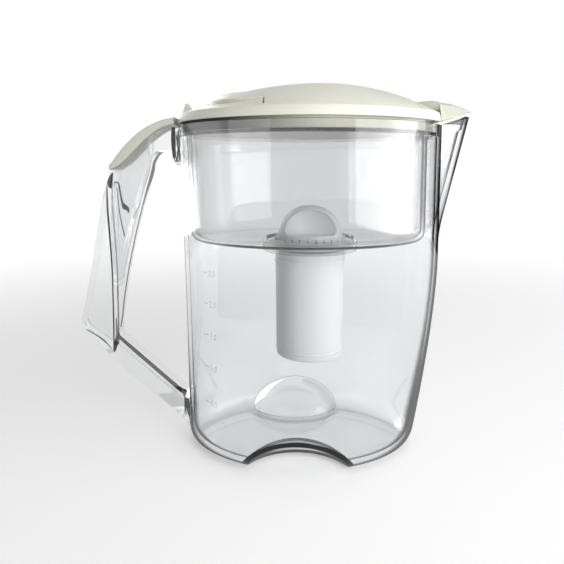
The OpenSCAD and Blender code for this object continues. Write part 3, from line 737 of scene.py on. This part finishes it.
weir = block("weir", (weirX, -weirHalf, flangeTop - 4),
             (weirX + hopperSizes["wall"], weirHalf, flangeTop + hopperSizes["weirHeight"]))
combine(hopper, [flange, cup, weir], "UNION")
hollow = hopperSkin("hollow", hopperSizes["wall"], hopperSizes["floor"], flangeTop + 12)
socketCut = turned("socketCut", [(0, seatZ), (hopperSizes["socket"] / 2, seatZ),
                                 (hopperSizes["socket"] / 2, seatZ + 19), (0, seatZ + 19)])
boreCut = turned("boreCut", [(0, seatZ - 10), (hopperSizes["bore"] / 2, seatZ - 10),
                             (hopperSizes["bore"] / 2, seatZ + 20), (0, seatZ + 20)])
combine(hopper, [hollow, socketCut, boreCut], "DIFFERENCE")
smoothFaces(hopper.data, 35)
place(hopper, "hopper", ["hopper_shell"], "hopper_clear", clearHopper)

# rounded copies and plain helpers
def roundEdges(piece, width, segments=2, degrees=35, weld=0.00003):
    # small gaps in a cut edge are closed before it is rounded
    work = bmesh.new()
    work.from_mesh(piece.data)
    bmesh.ops.remove_doubles(work, verts=work.verts, dist=weld)
    bmesh.ops.dissolve_limit(work, angle_limit=math.radians(0.4), verts=work.verts, edges=work.edges)
    work.to_mesh(piece.data)
    work.free()
    bevelled(piece, width, segments, degrees)
    smoothFaces(piece.data, 50)
    return piece


def copyOf(nodeName, name):
    # a fresh welded mesh with the shape of a part's node
    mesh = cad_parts[nodeName].data.copy()
    mesh.name = name
    tidyMesh(mesh)
    return newObject(name, mesh)


def bar(name, x, z, diameter, width, steps=40):
    # round bar across the object
    outline = [(x + diameter / 2 * math.cos(2 * math.pi * i / steps),
                z + diameter / 2 * math.sin(2 * math.pi * i / steps)) for i in range(steps)]
    return slab(name, outline, width)


print("lid")
lidSizes = {"over": 0.697, "wall": 2.2, "band": 6.3, "bandIn": 1.6, "crown": 28.3, "crownBack": 87.5,
            "crownBend": (0.002, 0.003), "nose": 43.7, "noseRise": 21.9, "noseBend": 0.0095, "tent": 37,
            "swingGap": 1.1, "sideRoom": 0.5, "around": 208, "up": 30, "rest": 0.1, "rounding": 0.45,
            "thumb": ((2.6, 6), (5.8, 14.6), (7, 14.4), (10.5, 9)), "thumbWidth": 9}
hatchSizes = {"back": 63.7, "front": 24.5, "noseLength": 41, "swell": 20, "noseSide": 20.2, "pinBack": 2.5,
              "pinHeight": 15.4, "arm": 18, "slot": (-3.6, 12), "low": 4.2}
flapSizes = {"front": 6.3, "length": 14.4, "pinOut": 2.8, "pinHeight": 13.2, "backWidth": 20, "width": 32,
             "peakBack": 2.2, "lip": 0.7, "lead": 2.9, "peak": 16, "bend": 0.0075, "power": 0.77,
             "edgeRise": 3, "arm": 8, "slot": (-12, 3.2), "low": 8.4, "steps": 40}
hingeSizes = {"barrel": 2.1, "ear": 3.4, "pin": 2.0, "fit": 0.05, "loose": 0.4}

jugTop = jugSizes["height"]
lidBack = rimX - lidSizes["over"]
lidFront = jugSizes["front"] + lidSizes["over"]
lidHalf = jugSizes["width"] / 2 + lidSizes["over"]
lidMiddle, lidLong = (lidBack + lidFront) / 2, (lidFront - lidBack) / 2
bandTop = jugTop + lidSizes["band"]
crownX = lidFront - lidSizes["crownBack"]
crownTop = jugTop + lidSizes["crown"]
noseX = lidBack + lidSizes["nose"]
hatchBack, hatchFront = lidBack + hatchSizes["back"], lidFront - hatchSizes["front"]
hatchTip = hatchBack - hatchSizes["noseLength"]
hatchPinX, hatchPinZ = hatchFront - hatchSizes["pinBack"], jugTop + hatchSizes["pinHeight"]
flapFront = lidFront - flapSizes["front"]
flapBack = flapFront - flapSizes["length"]
flapPinX, flapPinZ = flapBack + flapSizes["pinOut"], jugTop + flapSizes["pinHeight"]
restZ = jugTop + lidSizes["rest"]
ovalPower = jugSizes["ovalPower"]


def ovalPlan(back, front, half, around):
    middle, reach = (back + front) / 2, (front - back) / 2
    turns = [2 * math.pi * i / around for i in range(around)]
    return [(middle + reach * signedPower(math.cos(t), ovalPower), half * signedPower(math.sin(t), ovalPower))
            for t in turns]


def lidPlan(inset, around=lidSizes["around"]):
    return ovalPlan(lidBack + inset, lidFront - inset, lidHalf - inset, around)


def ovalHalf(x, inset):
    n = 2 / ovalPower
    u = min(1, abs(x - lidMiddle) / (lidLong - inset))
    return (lidHalf - inset) * (1 - u ** n) ** (1 / n)


def domeCrown(x):
    return crownTop - lidSizes["crownBend"][1 if x > crownX else 0] * (x - crownX) ** 2


def hatchCrown(x):
    nose = jugTop + lidSizes["noseRise"] - lidSizes["noseBend"] * (x - noseX) ** 2
    return max(domeCrown(x), nose) if x < noseX + 10 else domeCrown(x)


def domeRing(inset, sink, f, full):
    ring = []
    for px, py in lidPlan(lidSizes["bandIn"] + inset):
        x, y = crownX + (px - crownX) * (1 - f), py * (1 - f)
        top = hatchCrown(x) if full else domeCrown(x)
        # straight sided at the back and round farther on; the hatch swells out of its tip sooner
        swell = (x - hatchTip) / hatchSizes["swell"] if full else (x - hatchBack) / lidSizes["tent"] + 1
        power = 1 + min(1, max(0, swell))
        v = 1 if f == 0 else min(1, abs(y) / max(0.5, ovalHalf(x, lidSizes["bandIn"] + inset)))
        ring.append((x, y, bandTop - sink + max(0, top - bandTop) * (1 - v ** power)))
    return ring


def lidSolid(name, full, inset, sink, low):
    rings = [[(x, y, z) for x, y in lidPlan(inset)] for z in (restZ - low, restZ + 0.9)]
    up = lidSizes["up"]
    rings += [domeRing(inset, sink, (k / up) ** 1.3 * 0.97, full) for k in range(up + 1)]
    return ringSolid(name, rings, (crownX, 0, crownTop - sink))


def hatchPlan(name, gap, endGap, low, high):
    plan = prism(name, lidPlan(lidSizes["over"] + lidSizes["bandIn"] + 2 + gap, 160), low, high)
    x0, x1 = hatchBack + endGap, hatchFront - gap
    half = hatchSizes["noseLength"], lidHalf - hatchSizes["noseSide"] - endGap
    nose = prism("nose", [(x0 + half[0] * math.cos(math.radians(a)), half[1] * math.sin(math.radians(a)))
                          for a in range(0, 360, 3)], low - 1, high + 1)
    keep = block("keep", (x0, -90, low - 1), (x1, 90, high + 1))
    combine(keep, [nose], "UNION")
    combine(plan, [keep], "INTERSECT")
    return plan


def flapPlan(name, gap, backGap, low, high):
    a, b = flapSizes["backWidth"] / 2 - gap, flapSizes["width"] / 2 - gap
    x0, x1, past = flapBack + backGap, flapFront + gap, flapFront + 80
    return prism(name, [(x0, a), (x0, -a), (x1, -b), (x1, -40), (past, -40), (past, 40), (x1, 40), (x1, b)],
                 low, high)


def earSlots(pinX, reach, arm):
    # room beside the arm for the ears, reaching so far behind and in front of the pin
    slot = hingeSizes["ear"] + hingeSizes["loose"]
    return [block("slot", (pinX + reach[0], side * (arm + slot) / 2 - slot / 2, jugTop + 2),
                  (pinX + reach[1], side * (arm + slot) / 2 + slot / 2, jugTop + 60)) for side in (-1, 1)]


lidShell = lidSolid("lid_dome", False, 0, 0, 0)
combine(lidShell, [lidSolid("under", False, lidSizes["wall"], lidSizes["wall"], 4)], "DIFFERENCE")
thumb = slab("thumb", [(rimX + x, jugTop + z) for x, z in lidSizes["thumb"]], lidSizes["thumbWidth"])
combine(lidShell, [bevelled(thumb, 0.5, 4, 40)], "UNION")
combine(lidShell, [hatchPlan("hatch hole", 0, 0, jugTop, jugTop + 60),
                   flapPlan("flap hole", 0, 0, jugTop - 5, jugTop + 60)], "DIFFERENCE")
roundEdges(lidShell, lidSizes["rounding"])
place(lidShell, "lid", ["lid_shell"], "lid_plastic", ivoryGloss)

print("hatch")
hatch = lidSolid("hatch_cover", True, 0, 0, 0)
lidWall = lidSizes["wall"]
outerRoom = lidSizes["sideRoom"], lidSizes["swingGap"]
innerRoom = [room + lidWall for room in outerRoom]
hatchLow, above = jugTop + hatchSizes["low"], jugTop + 60
combine(hatch, [hatchPlan("hatch plan", *outerRoom, hatchLow, above)], "INTERSECT")
under = lidSolid("under", True, lidWall, lidWall, 4)
combine(under, [hatchPlan("under plan", *innerRoom, hatchLow - 1, above)], "INTERSECT")
combine(hatch, [under, *earSlots(hatchPinX, hatchSizes["slot"], hatchSizes["arm"])], "DIFFERENCE")


def hingeArm(x, z, width, side):
    barrel = bar("arm", x, z, 2 * hingeSizes["barrel"], width, 48)
    web = block("web", (x + side * 2 - 2, -width / 2, z - 0.6), (x + side * 2 + 2, width / 2,
                                                               z + hingeSizes["barrel"] - 0.4))
    return combine(barrel, [web], "UNION")


def pinHole(x, z, width):
    return bar("pin hole", x, z, hingeSizes["pin"] + 2 * hingeSizes["fit"], width, 32)


combine(hatch, [hingeArm(hatchPinX, hatchPinZ, hatchSizes["arm"], -1)], "UNION")
combine(hatch, [pinHole(hatchPinX, hatchPinZ, hatchSizes["arm"] + 2)], "DIFFERENCE")
roundEdges(hatch, lidSizes["rounding"])
place(hatch, "hatch", ["hatch"], "lid_plastic", ivoryGloss)

print("spout flap")
prowX = lidMiddle + lidLong * signedPower(math.cos(math.radians(jugSizes["crease"])), ovalPower)
prowY = lidHalf * signedPower(math.sin(math.radians(jugSizes["crease"])), ovalPower)
flapTip = lidFront + jugSizes["spoutReach"]


def prowShare(x):
    return min(1, max(0, (flapTip - x) / (flapTip - prowX))) ** flapSizes["power"]


def flapSection(x, inset, sink, low):
    share = prowShare(x)
    half = max(0.4, (prowY * share if x > prowX else ovalHalf(x, 0)) - inset)
    shoulder = half - min(lidSizes["bandIn"], 0.3 * half)
    edge = bandTop + flapSizes["edgeRise"] * (1 - share)
    peak = jugTop + flapSizes["peak"] - flapSizes["bend"] * (x - flapFront + flapSizes["peakBack"]) ** 2
    rise = max(0.4, peak - edge)
    foot = restZ + flapSizes["lip"] + jugSizes["spoutRise"] * (1 - prowShare(x + flapSizes["lead"])) - low
    # the crown follows the same four corners as the part, eased between them
    corners = [(1, 0), (0.78, 0.72), (0.45, 0.93), (0, 1)]
    crown = []
    for (a, b), (c, d) in zip(corners, corners[1:]):
        crown += [(a + (c - a) * k / 5, b + (d - b) * k / 5) for k in range(5)]
    near = [(half, foot)] + [(shoulder * a, edge + rise * b - sink) for a, b in crown]
    return [(x, y, z) for y, z in near] + [(x, 0, peak - sink if peak > edge + 0.4 else edge + rise - sink)] \
        + [(x, -y, z) for y, z in near[::-1]]


def flapSolid(name, inset, sink, low, x1):
    x0, n = flapBack - 1.2, flapSizes["steps"]
    rings = [flapSection(x0 + (x1 - x0) * k / n, inset, sink, low) for k in range(n + 1)]
    return ringSolid(name, rings, (x1, 0, (rings[-1][0][2] + rings[-1][len(rings[-1]) // 2][2]) / 2))


flap = flapSolid("spout_cover", 0, 0, 0, flapTip - 0.6)
room = block("past the lid", (flapFront + outerRoom[0], -40, jugTop - 2), (flapFront + 80, 40, above))
combine(room, [flapPlan("flap plan", *outerRoom, jugTop + flapSizes["low"], above + 1)], "UNION")
combine(flap, [room], "INTERSECT")
under = flapSolid("under", lidWall, lidWall, 4, flapTip - 6)
combine(under, [flapPlan("under plan", *innerRoom, jugTop - 5, above + 2)], "INTERSECT")
combine(flap, [under, *earSlots(flapPinX, flapSizes["slot"], flapSizes["arm"])], "DIFFERENCE")
combine(flap, [hingeArm(flapPinX, flapPinZ, flapSizes["arm"], 1)], "UNION")
combine(flap, [pinHole(flapPinX, flapPinZ, flapSizes["arm"] + 2)], "DIFFERENCE")
roundEdges(flap, lidSizes["rounding"])
place(flap, "flap", ["spout_flap"], "lid_plastic", shadedFlapGloss)

print("tray and skirt")
trayRounding = 0.4
for nodeName, pieceName, slotName, material in (
        ("lid_tray", "fill_tray", "lid_plastic", ivoryGloss),
        ("lid_skirt", "rim_skirt", "skirt_plastic", skirtOlive)):
    place(roundEdges(copyOf(nodeName, pieceName), trayRounding, 3), "lid", [nodeName], slotName, material)

print("handle")
handleSizes = {"width": 28, "pocket": 20, "wall": 2.6, "gap": 0.1, "voxel": 0.8, "softness": 14,
               "finHalf": 6.5, "lugGap": 0.1, "linerGap": 0.5, "capOver": 1.4, "past": 5,
               "linerVoxel": 0.7, "linerSoftness": 10, "capVoxel": 0.6, "capSoftness": 22,
               "root": ((8, 239), (8, 209), (-0.2, 209), (-2.2, 213), (-2.8, 219.5))}


def softened(piece, voxel, rounds):
    # an even skin of small faces, its edges worn round
    skin = piece.modifiers.new("skin", "REMESH")
    skin.mode = "VOXEL"
    skin.voxel_size = voxel * mm
    wear = piece.modifiers.new("wear", "SMOOTH")
    wear.factor = 0.5
    wear.iterations = rounds
    bakeModifiers(piece)
    smoothFaces(piece.data, 60)
    return piece


def bezier(a, b, c, d, steps=28):
    curve = []
    for k in range(steps + 1):
        t = k / steps
        shares = (1 - t) ** 3, 3 * t * (1 - t) ** 2, 3 * t * t * (1 - t), t ** 3
        curve.append(tuple(sum(w * v for w, v in zip(shares, values)) for values in zip(a, b, c, d)))
    return curve


def handleCurve(*corners):
    # corners as distance out from the jug and height
    return bezier(*[(-jugSizes["back"] - x, z) for x, z in corners])


capEnd = -(rimX + jugSizes["back"] - lidSizes["over"] - 0.4)       # beside the lid, as distance from the jug
seamLine = handleCurve((52.6, 205.6), (38, 209.5), (26, 236), (capEnd, jugTop - 1.4))
outerLine = handleCurve((52.6, 205.6), (63, 192), (68, 135), (79.3, 93))
fingerLine = handleCurve((14.3, 219.5), (23.3, 219.5), (24.8, 213), (26.3, 203))
palmLine = handleCurve((26.3, 203), (33.3, 185), (49.3, 130), (53.6, 81))
# the crease where the closed grip meets the fin behind it
creaseLine = bezier((-143.4, 204), (-149.5, 178), (-145.2, 130), (-146.2, 84))


def fromJug(*points):
    return [(-jugSizes["back"] - x, z) for x, z in points]


handleOutline = [(rimX + x, z) for x, z in handleSizes["root"]] \
    + fingerLine + palmLine[1:] + fromJug((4, 36.5), (-6, 36.5), (-6, 8), (1.8, 19.5), (76.5, 86.5)) \
    + outerLine[::-1] + seamLine[1:]


def inset(line, x):
    return [(a + x, b) for a, b in line]


def gripSpace(name, gap, width, top):
    # the hollow of the grip: from the crease to the palm, closing to a point below
    wall = handleSizes["wall"] + gap
    left, right = inset(creaseLine, gap + 0.8), inset(palmLine, -wall)
    cut = [k for k, (a, b) in enumerate(zip(left, right)) if b[0] - a[0] > 2.5]
    last = cut[-1]
    outline = left[:last + 1] + right[:last + 1][::-1] + top
    return slab(name, outline, width)


handle = slab("handle_body", handleOutline, handleSizes["width"])
side = handleSizes["width"] / 2
for s in (-1, 1):
    # the fin slopes in on both sides from the crease to its outer edge
    rings = [[(cx - 0.6, s * (side + 0.05), cz), (ox - 3, s * handleSizes["finHalf"], oz),
              (ox - 3, s * (side + 4), oz), (cx - 0.6, s * (side + 4), cz)]
             for (cx, cz), (ox, oz) in zip(creaseLine[::2], outerLine[::2])]
    rings.append([(x + 4, y, z - 22) for x, y, z in rings[-1]])
    combine(handle, [ringSolid("wedge", rings)], "DIFFERENCE")
mouth = fromJug((25, 222), (25, 240), (50.4, 240))
combine(handle, [gripSpace("hollow", 0, handleSizes["pocket"], mouth)], "DIFFERENCE")
softened(handle, handleSizes["voxel"], handleSizes["softness"])
combine(handle, [jugOutside("beside the jug", handleSizes["gap"]), *lugBlocks(handleSizes["lugGap"])],
        "DIFFERENCE")
smoothFaces(handle.data, 50)
place(handle, "jug", ["handle"], "handle_clear", clearHandle)

liner = gripSpace("grip_liner", handleSizes["linerGap"], handleSizes["pocket"] - 2 * handleSizes["linerGap"],
                  fromJug((25.8, 222), (25.8, 227), (31, 220.6), (38, 213.4), (44, 208.8), (50, 204.5)))
softened(liner, handleSizes["linerVoxel"], handleSizes["linerSoftness"])
place(liner, "jug", ["grip_insert"], "handle_clear", clearHandle)

print("handle cap")
capLine = handleCurve((capEnd, jugTop + 3.8), (22, 240.5), (36, 232), (52.6, 208.4))
capStop = capLine[0][0]
pastX = capStop + handleSizes["past"]       # worn round with the rest, then cut off flat
capOutline = seamLine + [(pastX, seamLine[-1][1] + 0.5), (pastX, capLine[0][1] + 1)] + capLine
handleTop = slab("handle_top", capOutline, handleSizes["width"] + 2 * handleSizes["capOver"])
softened(handleTop, handleSizes["capVoxel"], handleSizes["capSoftness"])
cutter = block("beside the lid", (capStop, -30, jugTop - 20), (capStop + 20, 30, jugTop + 20))
combine(handleTop, [cutter], "DIFFERENCE")
combine(handleTop, [jugOutside("beside the jug", handleSizes["gap"])], "DIFFERENCE")
smoothFaces(handleTop.data, 50)
place(handleTop, "jug", ["handle_cap"], "cap_plastic", ivoryGloss)

print("creases")


def makeCreaseTree():
    # round ribs along lines; each corner has its own thickness
    tree, given = startTree("moulded creases", {"Step": 0.0008, "Sides": 12, "Thickness": 0.001})
    smooth = addNode(tree, "GeometryNodeCurveSplineType", settings={"spline_type": "CATMULL_ROM"},
                     Curve=addNode(tree, "GeometryNodeMeshToCurve", Mesh=given["Geometry"]))
    even = addNode(tree, "GeometryNodeResampleCurve", settings={"mode": "LENGTH"}, Curve=smooth,
                   Length=given["Step"])
    thick = addNode(tree, "GeometryNodeInputNamedAttribute", settings={"data_type": "FLOAT"}, Name="thick")
    circle = addNode(tree, "GeometryNodeCurvePrimitiveCircle", Resolution=given["Sides"],
                     Radius=given["Thickness"])
    tube = addNode(tree, "GeometryNodeCurveToMesh", Curve=even, Profile_Curve=circle, Fill_Caps=True,
                   Scale=thick.outputs["Attribute"])
    return endTree(tree, given, tube)


creaseTree = makeCreaseTree()


def creases(name, lines, material, body, slotName, step=0.8):
    # lines of (x, y, z, radius) in millimetres
    points, edges, thick = [], [], []
    for line in lines:
        edges += [(len(points) + k, len(points) + k + 1) for k in range(len(line) - 1)]
        points += [(x * mm, y * mm, z * mm) for x, y, z, r in line]
        thick += [r for x, y, z, r in line]
    mesh = bpy.data.meshes.new(name)
    mesh.from_pydata(points, edges, [])
    mesh.attributes.new("thick", "FLOAT", "POINT").data.foreach_set("value", thick)
    piece = newObject(name, mesh)
    follow = piece.modifiers.new("creases", "NODES")
    follow.node_group = creaseTree
    setInputs(follow, {"Step": step * mm, "Sides": 12, "Thickness": mm, "Material": material})
    bakeModifiers(piece)
    tidyMesh(piece.data, 0.000002)
    smoothFaces(piece.data, 50)
    place(piece, body, [], slotName, material)


# lines of (x, z, radius), and how far in front of and behind the middle they lie
creaseSizes = {
    "outer crease": [(-148.6, 194, 0.4), (-148.7, 177, 0.75), (-147.6, 155, 0.65), (-146.8, 129.7, 0.5),
                     (-146.9, 104, 0.5), (-147.1, 84.2, 0.55), (-147.5, 71.6, 0.4)],
    "hook": [(-144.8, 193.2, 0.25), (-144.4, 196.2, 0.5), (-141.9, 195.8, 0.55), (-140.6, 187.5, 0.65),
             (-139.4, 181.4, 0.9), (-137.6, 178.3, 2.0), (-135.7, 176.8, 1.3), (-135.1, 173.7, 0.3)],
    "thin line": [(-143.3, 193.2, 0.25), (-141.7, 173.9, 0.35), (-138.6, 156.2, 0.45)],
    "foot line": [(-169.9, 85.0, 0.4), (-166.6, 83.2, 0.6), (-157.5, 77.0, 0.5), (-151.1, 69.9, 0.4)],
    "facet": [(-131.7, 169.0, 0.3), (-129.1, 175.2, 0.25), (-125.8, 181.4, 0.2)],
    "seam end": [(-146.0, 204.0, 0.6), (-147.6, 199.6, 1.7), (-148.2, 195.4, 2.0), (-147.2, 192.4, 0.9)],
    "knot": [(-146.8, 94.0, 0.4), (-146.6, 85.8, 0.8), (-146.0, 79.6, 1.6), (-148.0, 72.4, 1.5),
             (-149.1, 67.2, 0.5)],
    "arm top": [(-145.2, 79.4, 1.2), (-133.5, 68.6, 1.4), (-121.7, 57.9, 1.4), (-100.7, 38.8, 1.5),
                (-96.2, 35.6, 1.6)],
    "arm joint": [(-98.2, 37.4, 0.8), (-95.6, 35.0, 1.9), (-93.8, 26, 1.6), (-92.0, 16, 1.1),
                  (-90.8, 9, 0.4)],
    "top joint": [(-98.2, 236, 1.3), (-98.4, 226, 1.6), (-98.0, 214, 1.0)],
    "top loop": [(-97.6, 231, 0.4), (-96.6, 222, 0.5), (-97.4, 213, 0.5), (-99.2, 213, 0.4),
                 (-100.2, 222, 0.35)]}
creaseDepths = {"outer crease": (-6, 6), "top joint": (-11.5, 11.5), "top loop": (-4, 4)}
strokes = [[(x, y, z, r) for x, z, r in line] for name, line in creaseSizes.items()
           for y in creaseDepths.get(name, (0,))]
# a painted shade stroke along the far edge of the palm side, thickest where a finger lies in the bend
bend = fingerLine[6::4] + palmLine[2:-2:3] + [(-145.6, 84)]
strokes.append([(x - 1.1 if z < 215 else x, 10.5, z + (1.0 if z >= 215 else 0),
                 0.5 + 0.75 * math.exp(-((z - 203) / 13) ** 2)) for x, z in bend])
creases("handle_creases", strokes, paintedCreaseShade, "jug", "handle_clear")

print("cartridge")
cartridgeSizes = {"seat": 149.1, "collarThick": 3.4, "ventHeight": 5, "dome": 24, "domeHeight": 22.5,
                  "fin": 2.4, "recess": 19.6, "recessHeight": 17.8, "recessUp": 1.6, "corner": 20,
                  "cornerX": (14.5, 17.5, 19.2), "cornerRise": 2, "body": 25.8, "taper": 0.8, "length": 82,
                  "wall": 1.6, "lip": 0.5, "hoop": (138.5, 141), "lowHoop": (72.2, 73.2),
                  "groove": (0.75, 0.87), "scoopRadius": 28, "scoopOut": 34.5, "scoopUp": 9,
                  "voxel": 0.5, "softness": 14}
c = cartridgeSizes
domeZ = c["seat"] + c["collarThick"] + c["ventHeight"]
grip = turned("grip_cap", [(0, domeZ - 1.2)] + [(c["dome"], domeZ - 1.2)] + [
    (c["dome"] * math.cos(math.radians(a)), domeZ + c["domeHeight"] * math.sin(math.radians(a)))
    for a in range(0, 90, 3)] + [(0, domeZ + c["domeHeight"])], steps=120)
# thumb hollow on each side of the fin, a half moon with round corners
recessLow = domeZ + c["recessUp"]
arc = [(c["recess"] * math.cos(math.radians(a)), recessLow + c["recessHeight"] * math.sin(math.radians(a)))
       for a in range(c["corner"], 181 - c["corner"], 4)]
x0, x1, x2 = c["cornerX"]
rounded = bezier((x0, recessLow), (x1, recessLow), (x2, recessLow + c["cornerRise"]), arc[0], 6)[:-1]
moon = rounded + arc + [(-x, z) for x, z in rounded[::-1]]
for s in (-1, 1):
    hollow = slab("hollow", moon, 24)
    hollow.data.transform(Matrix.Translation((0, s * (12 + c["fin"]) * mm, 0)))
    scoop = ball("scoop", (0, s * c["scoopOut"], domeZ + c["scoopUp"]), c["scoopRadius"])
    combine(hollow, [scoop], "INTERSECT")
    combine(grip, [hollow], "DIFFERENCE")
softened(grip, c["voxel"], c["softness"])
collar = copyOf("cartridge_cap", "collar")
combine(collar, [block("dome room", (-32, -32, domeZ - 0.2), (32, 32, domeZ + 40))], "DIFFERENCE")
roundEdges(collar, 0.3, 2)
combine(grip, [collar], "UNION")
smoothFaces(grip.data, 45)
place(grip, "cartridge", ["cartridge_cap"], "cartridge_plastic", whiteMatte)


def bodyRadius(z):
    return c["body"] - c["taper"] * (c["seat"] - z) / c["length"]


def hoop(low, high, out):
    # a thin raised band round the body
    r = bodyRadius((low + high) / 2)
    steps = (0, low, -1), (0.7, low, -0.3), (1, low, 0.5), (1, high, -0.5), (0.7, high, 0.3), (0, high, 1)
    return [(r + out * a, z + out * b) for a, z, b in steps]


bodyLow, bodyHigh, grooveZ = c["seat"] - c["length"] + 4.2, c["seat"] - 0.05, c["seat"] - 1.3
rim, (shallow, deep) = bodyRadius(grooveZ), c["groove"]
sleeve = turned("cartridge_sleeve", [
    (bodyRadius(bodyLow) - 0.2, bodyLow), (bodyRadius(bodyLow), bodyLow + 0.2),
    *hoop(*c["lowHoop"], c["lip"] * 0.6), *[(bodyRadius(z), z) for z in range(80, 136, 8)],
    *hoop(*c["hoop"], c["lip"]), (rim, grooveZ - 1.1), (c["body"] - shallow, grooveZ - 0.75),
    (c["body"] - deep, grooveZ), (c["body"] - shallow, grooveZ + 0.75), (rim, grooveZ + 1.05),
    (c["body"] - 0.2, bodyHigh), (c["body"] - c["wall"], bodyHigh),
    (bodyRadius(bodyLow) - c["wall"], bodyLow)], steps=160)
smoothFaces(sleeve.data, 35)
place(sleeve, "cartridge", ["cartridge_body"], "cartridge_plastic", whiteMatte)
place(roundEdges(copyOf("cartridge_base", "cartridge_foot"), 0.35, 3), "cartridge", ["cartridge_base"],
      "cartridge_plastic", whiteMatte)

print("carried-over pieces")
for nodeName, material in {
        "collar_seal": sealRubber, "inlet_screen": feltWhite, "felt_pad": feltWhite,
        "outlet_screen": feltWhite, "carbon_bed": carbonGrains, "resin_bed": resinBeads,
        "hatch_pin": pinSteel, "flap_pin": pinSteel}.items():
    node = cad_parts[nodeName]
    node.data.materials.clear()
    node.data.materials.append(material)

print("floor, light and camera")
studio = {"worldLevel": 0.29, "floorLift": 0.35, "floorNear": 0.2, "floorFar": 1.1, "floorColour": 0.9,
          "floorCorners": [(-6000, -6000), (6000, -6000), (6000, 9000), (-6000, 9000)], "floorDrop": 0.5,
          "cardEnds": [(250, 900), (1500, 500)], "cardHeights": (-200, 1200), "cardColour": 0.01,
          "lookAt": (0, 0, 0.12)}
panels = {"right": {"place": (1.03, -0.56, 0.3), "size": (1.2, 1.5), "power": 13.5},
          "left": {"place": (-0.92, -0.86, 0.3), "size": (0.72, 1.5), "power": 3.6, "hidden": "diffuse"},
          "leftBack": {"place": (-0.75, 1.0, 0.25), "size": (1.1, 1.5), "power": 26.0, "hidden": "diffuse"},
          "front": {"place": (0.65, -1.25, 0.6), "size": (0.6, 0.6), "power": 7.0, "hidden": "glossy"},
          "top": {"place": (0.5, 0.5, 1.2), "size": (0.9, 0.9), "power": 0.6}}
view = {"place": (-0.0208, -0.400, 0.205), "tilt": 84, "lens": 34.36596, "film": 36, "shift": -0.096454}


def seenRays(tree):
    # 1 for what the camera sees straight, mirrored or through something clear
    path = addNode(tree, "ShaderNodeLightPath")
    straight, mirrored, through = [
        Field(tree, path.outputs[f"Is {kind} Ray"]) for kind in ("Camera", "Glossy", "Transmission")]
    return straight.most(mirrored).most(through)


def evenGrey(level):
    return (level, level, level, 1)


def sheet(name, corners):
    # a flat part of the studio, its finish still to be made
    piece = newObject(name, meshFrom(name, corners, [(0, 1, 2, 3)]))
    paint, tree = newMaterial(name)
    dress(piece, paint)
    return piece, tree


tree = sheet("floor", [(x, y, -studio["floorDrop"]) for x, y in studio["floorCorners"]])[1]
distance = addNode(tree, "ShaderNodeVectorMath", onObject(tree), settings={"operation": "LENGTH"})
fade = Field(tree, distance.outputs["Value"]).ramp(studio["floorNear"], studio["floorFar"])
# the camera sees the floor a little brighter than it lights the object, and far off it is plain white
lit = addNode(tree, "ShaderNodeAddShader",
              addNode(tree, "ShaderNodeBsdfDiffuse", Color=evenGrey(studio["floorColour"])),
              addNode(tree, "ShaderNodeEmission", Strength=seenRays(tree) * studio["floorLift"]))
white = addNode(tree, "ShaderNodeEmission", Strength=1.0)
finishWith(tree, addNode(tree, "ShaderNodeMixShader", fade, lit, white))

world = bpy.data.worlds.new("white studio")
scene.world = world
world.use_nodes = True
tree = world.node_tree
tree.nodes.clear()
level = remapped(tree, seenRays(tree), studio["worldLevel"], 1.0)
sky = addNode(tree, "ShaderNodeBackground", Color=evenGrey(1), Strength=level)
addNode(tree, "ShaderNodeOutputWorld", sky)

for name, look in panels.items():
    lamp = bpy.data.lights.new(name, "AREA")
    lamp.shape = "RECTANGLE"
    lamp.size, lamp.size_y = look["size"]
    lamp.energy = look["power"]
    panel = newObject(name, lamp)
    panel.location = look["place"]
    aim = Vector(studio["lookAt"]) - Vector(look["place"])
    panel.rotation_euler = aim.to_track_quat("-Z", "Y").to_euler()
    panel.visible_camera = False
    panel.visible_diffuse = look.get("hidden") != "diffuse"     # one that only shows in the gloss
    panel.visible_glossy = look.get("hidden") != "glossy"       # a fill that does not show in it

# black card behind on the right: the clear edges on that side reflect it
(x0, y0), (x1, y1) = studio["cardEnds"]
low, high = studio["cardHeights"]
card, tree = sheet("black card", [(x0, y0, low), (x1, y1, low), (x1, y1, high), (x0, y0, high)])
finishWith(tree, addNode(tree, "ShaderNodeBsdfDiffuse", Color=evenGrey(studio["cardColour"])))
card.visible_camera = card.visible_diffuse = card.visible_shadow = False

camera = newObject("camera", bpy.data.cameras.new("camera"))
camera.location = view["place"]
camera.rotation_euler = (math.radians(view["tilt"]), 0, 0)
camera.data.lens = view["lens"]
camera.data.sensor_width = view["film"]
camera.data.shift_y = view["shift"]
camera.data.clip_start = 0.01
scene.camera = camera
scene.view_settings.view_transform = "Standard"
scene.cycles.transparent_max_bounces = 48
scene.cycles.max_bounces = 24
scene.cycles.transmission_bounces = 20
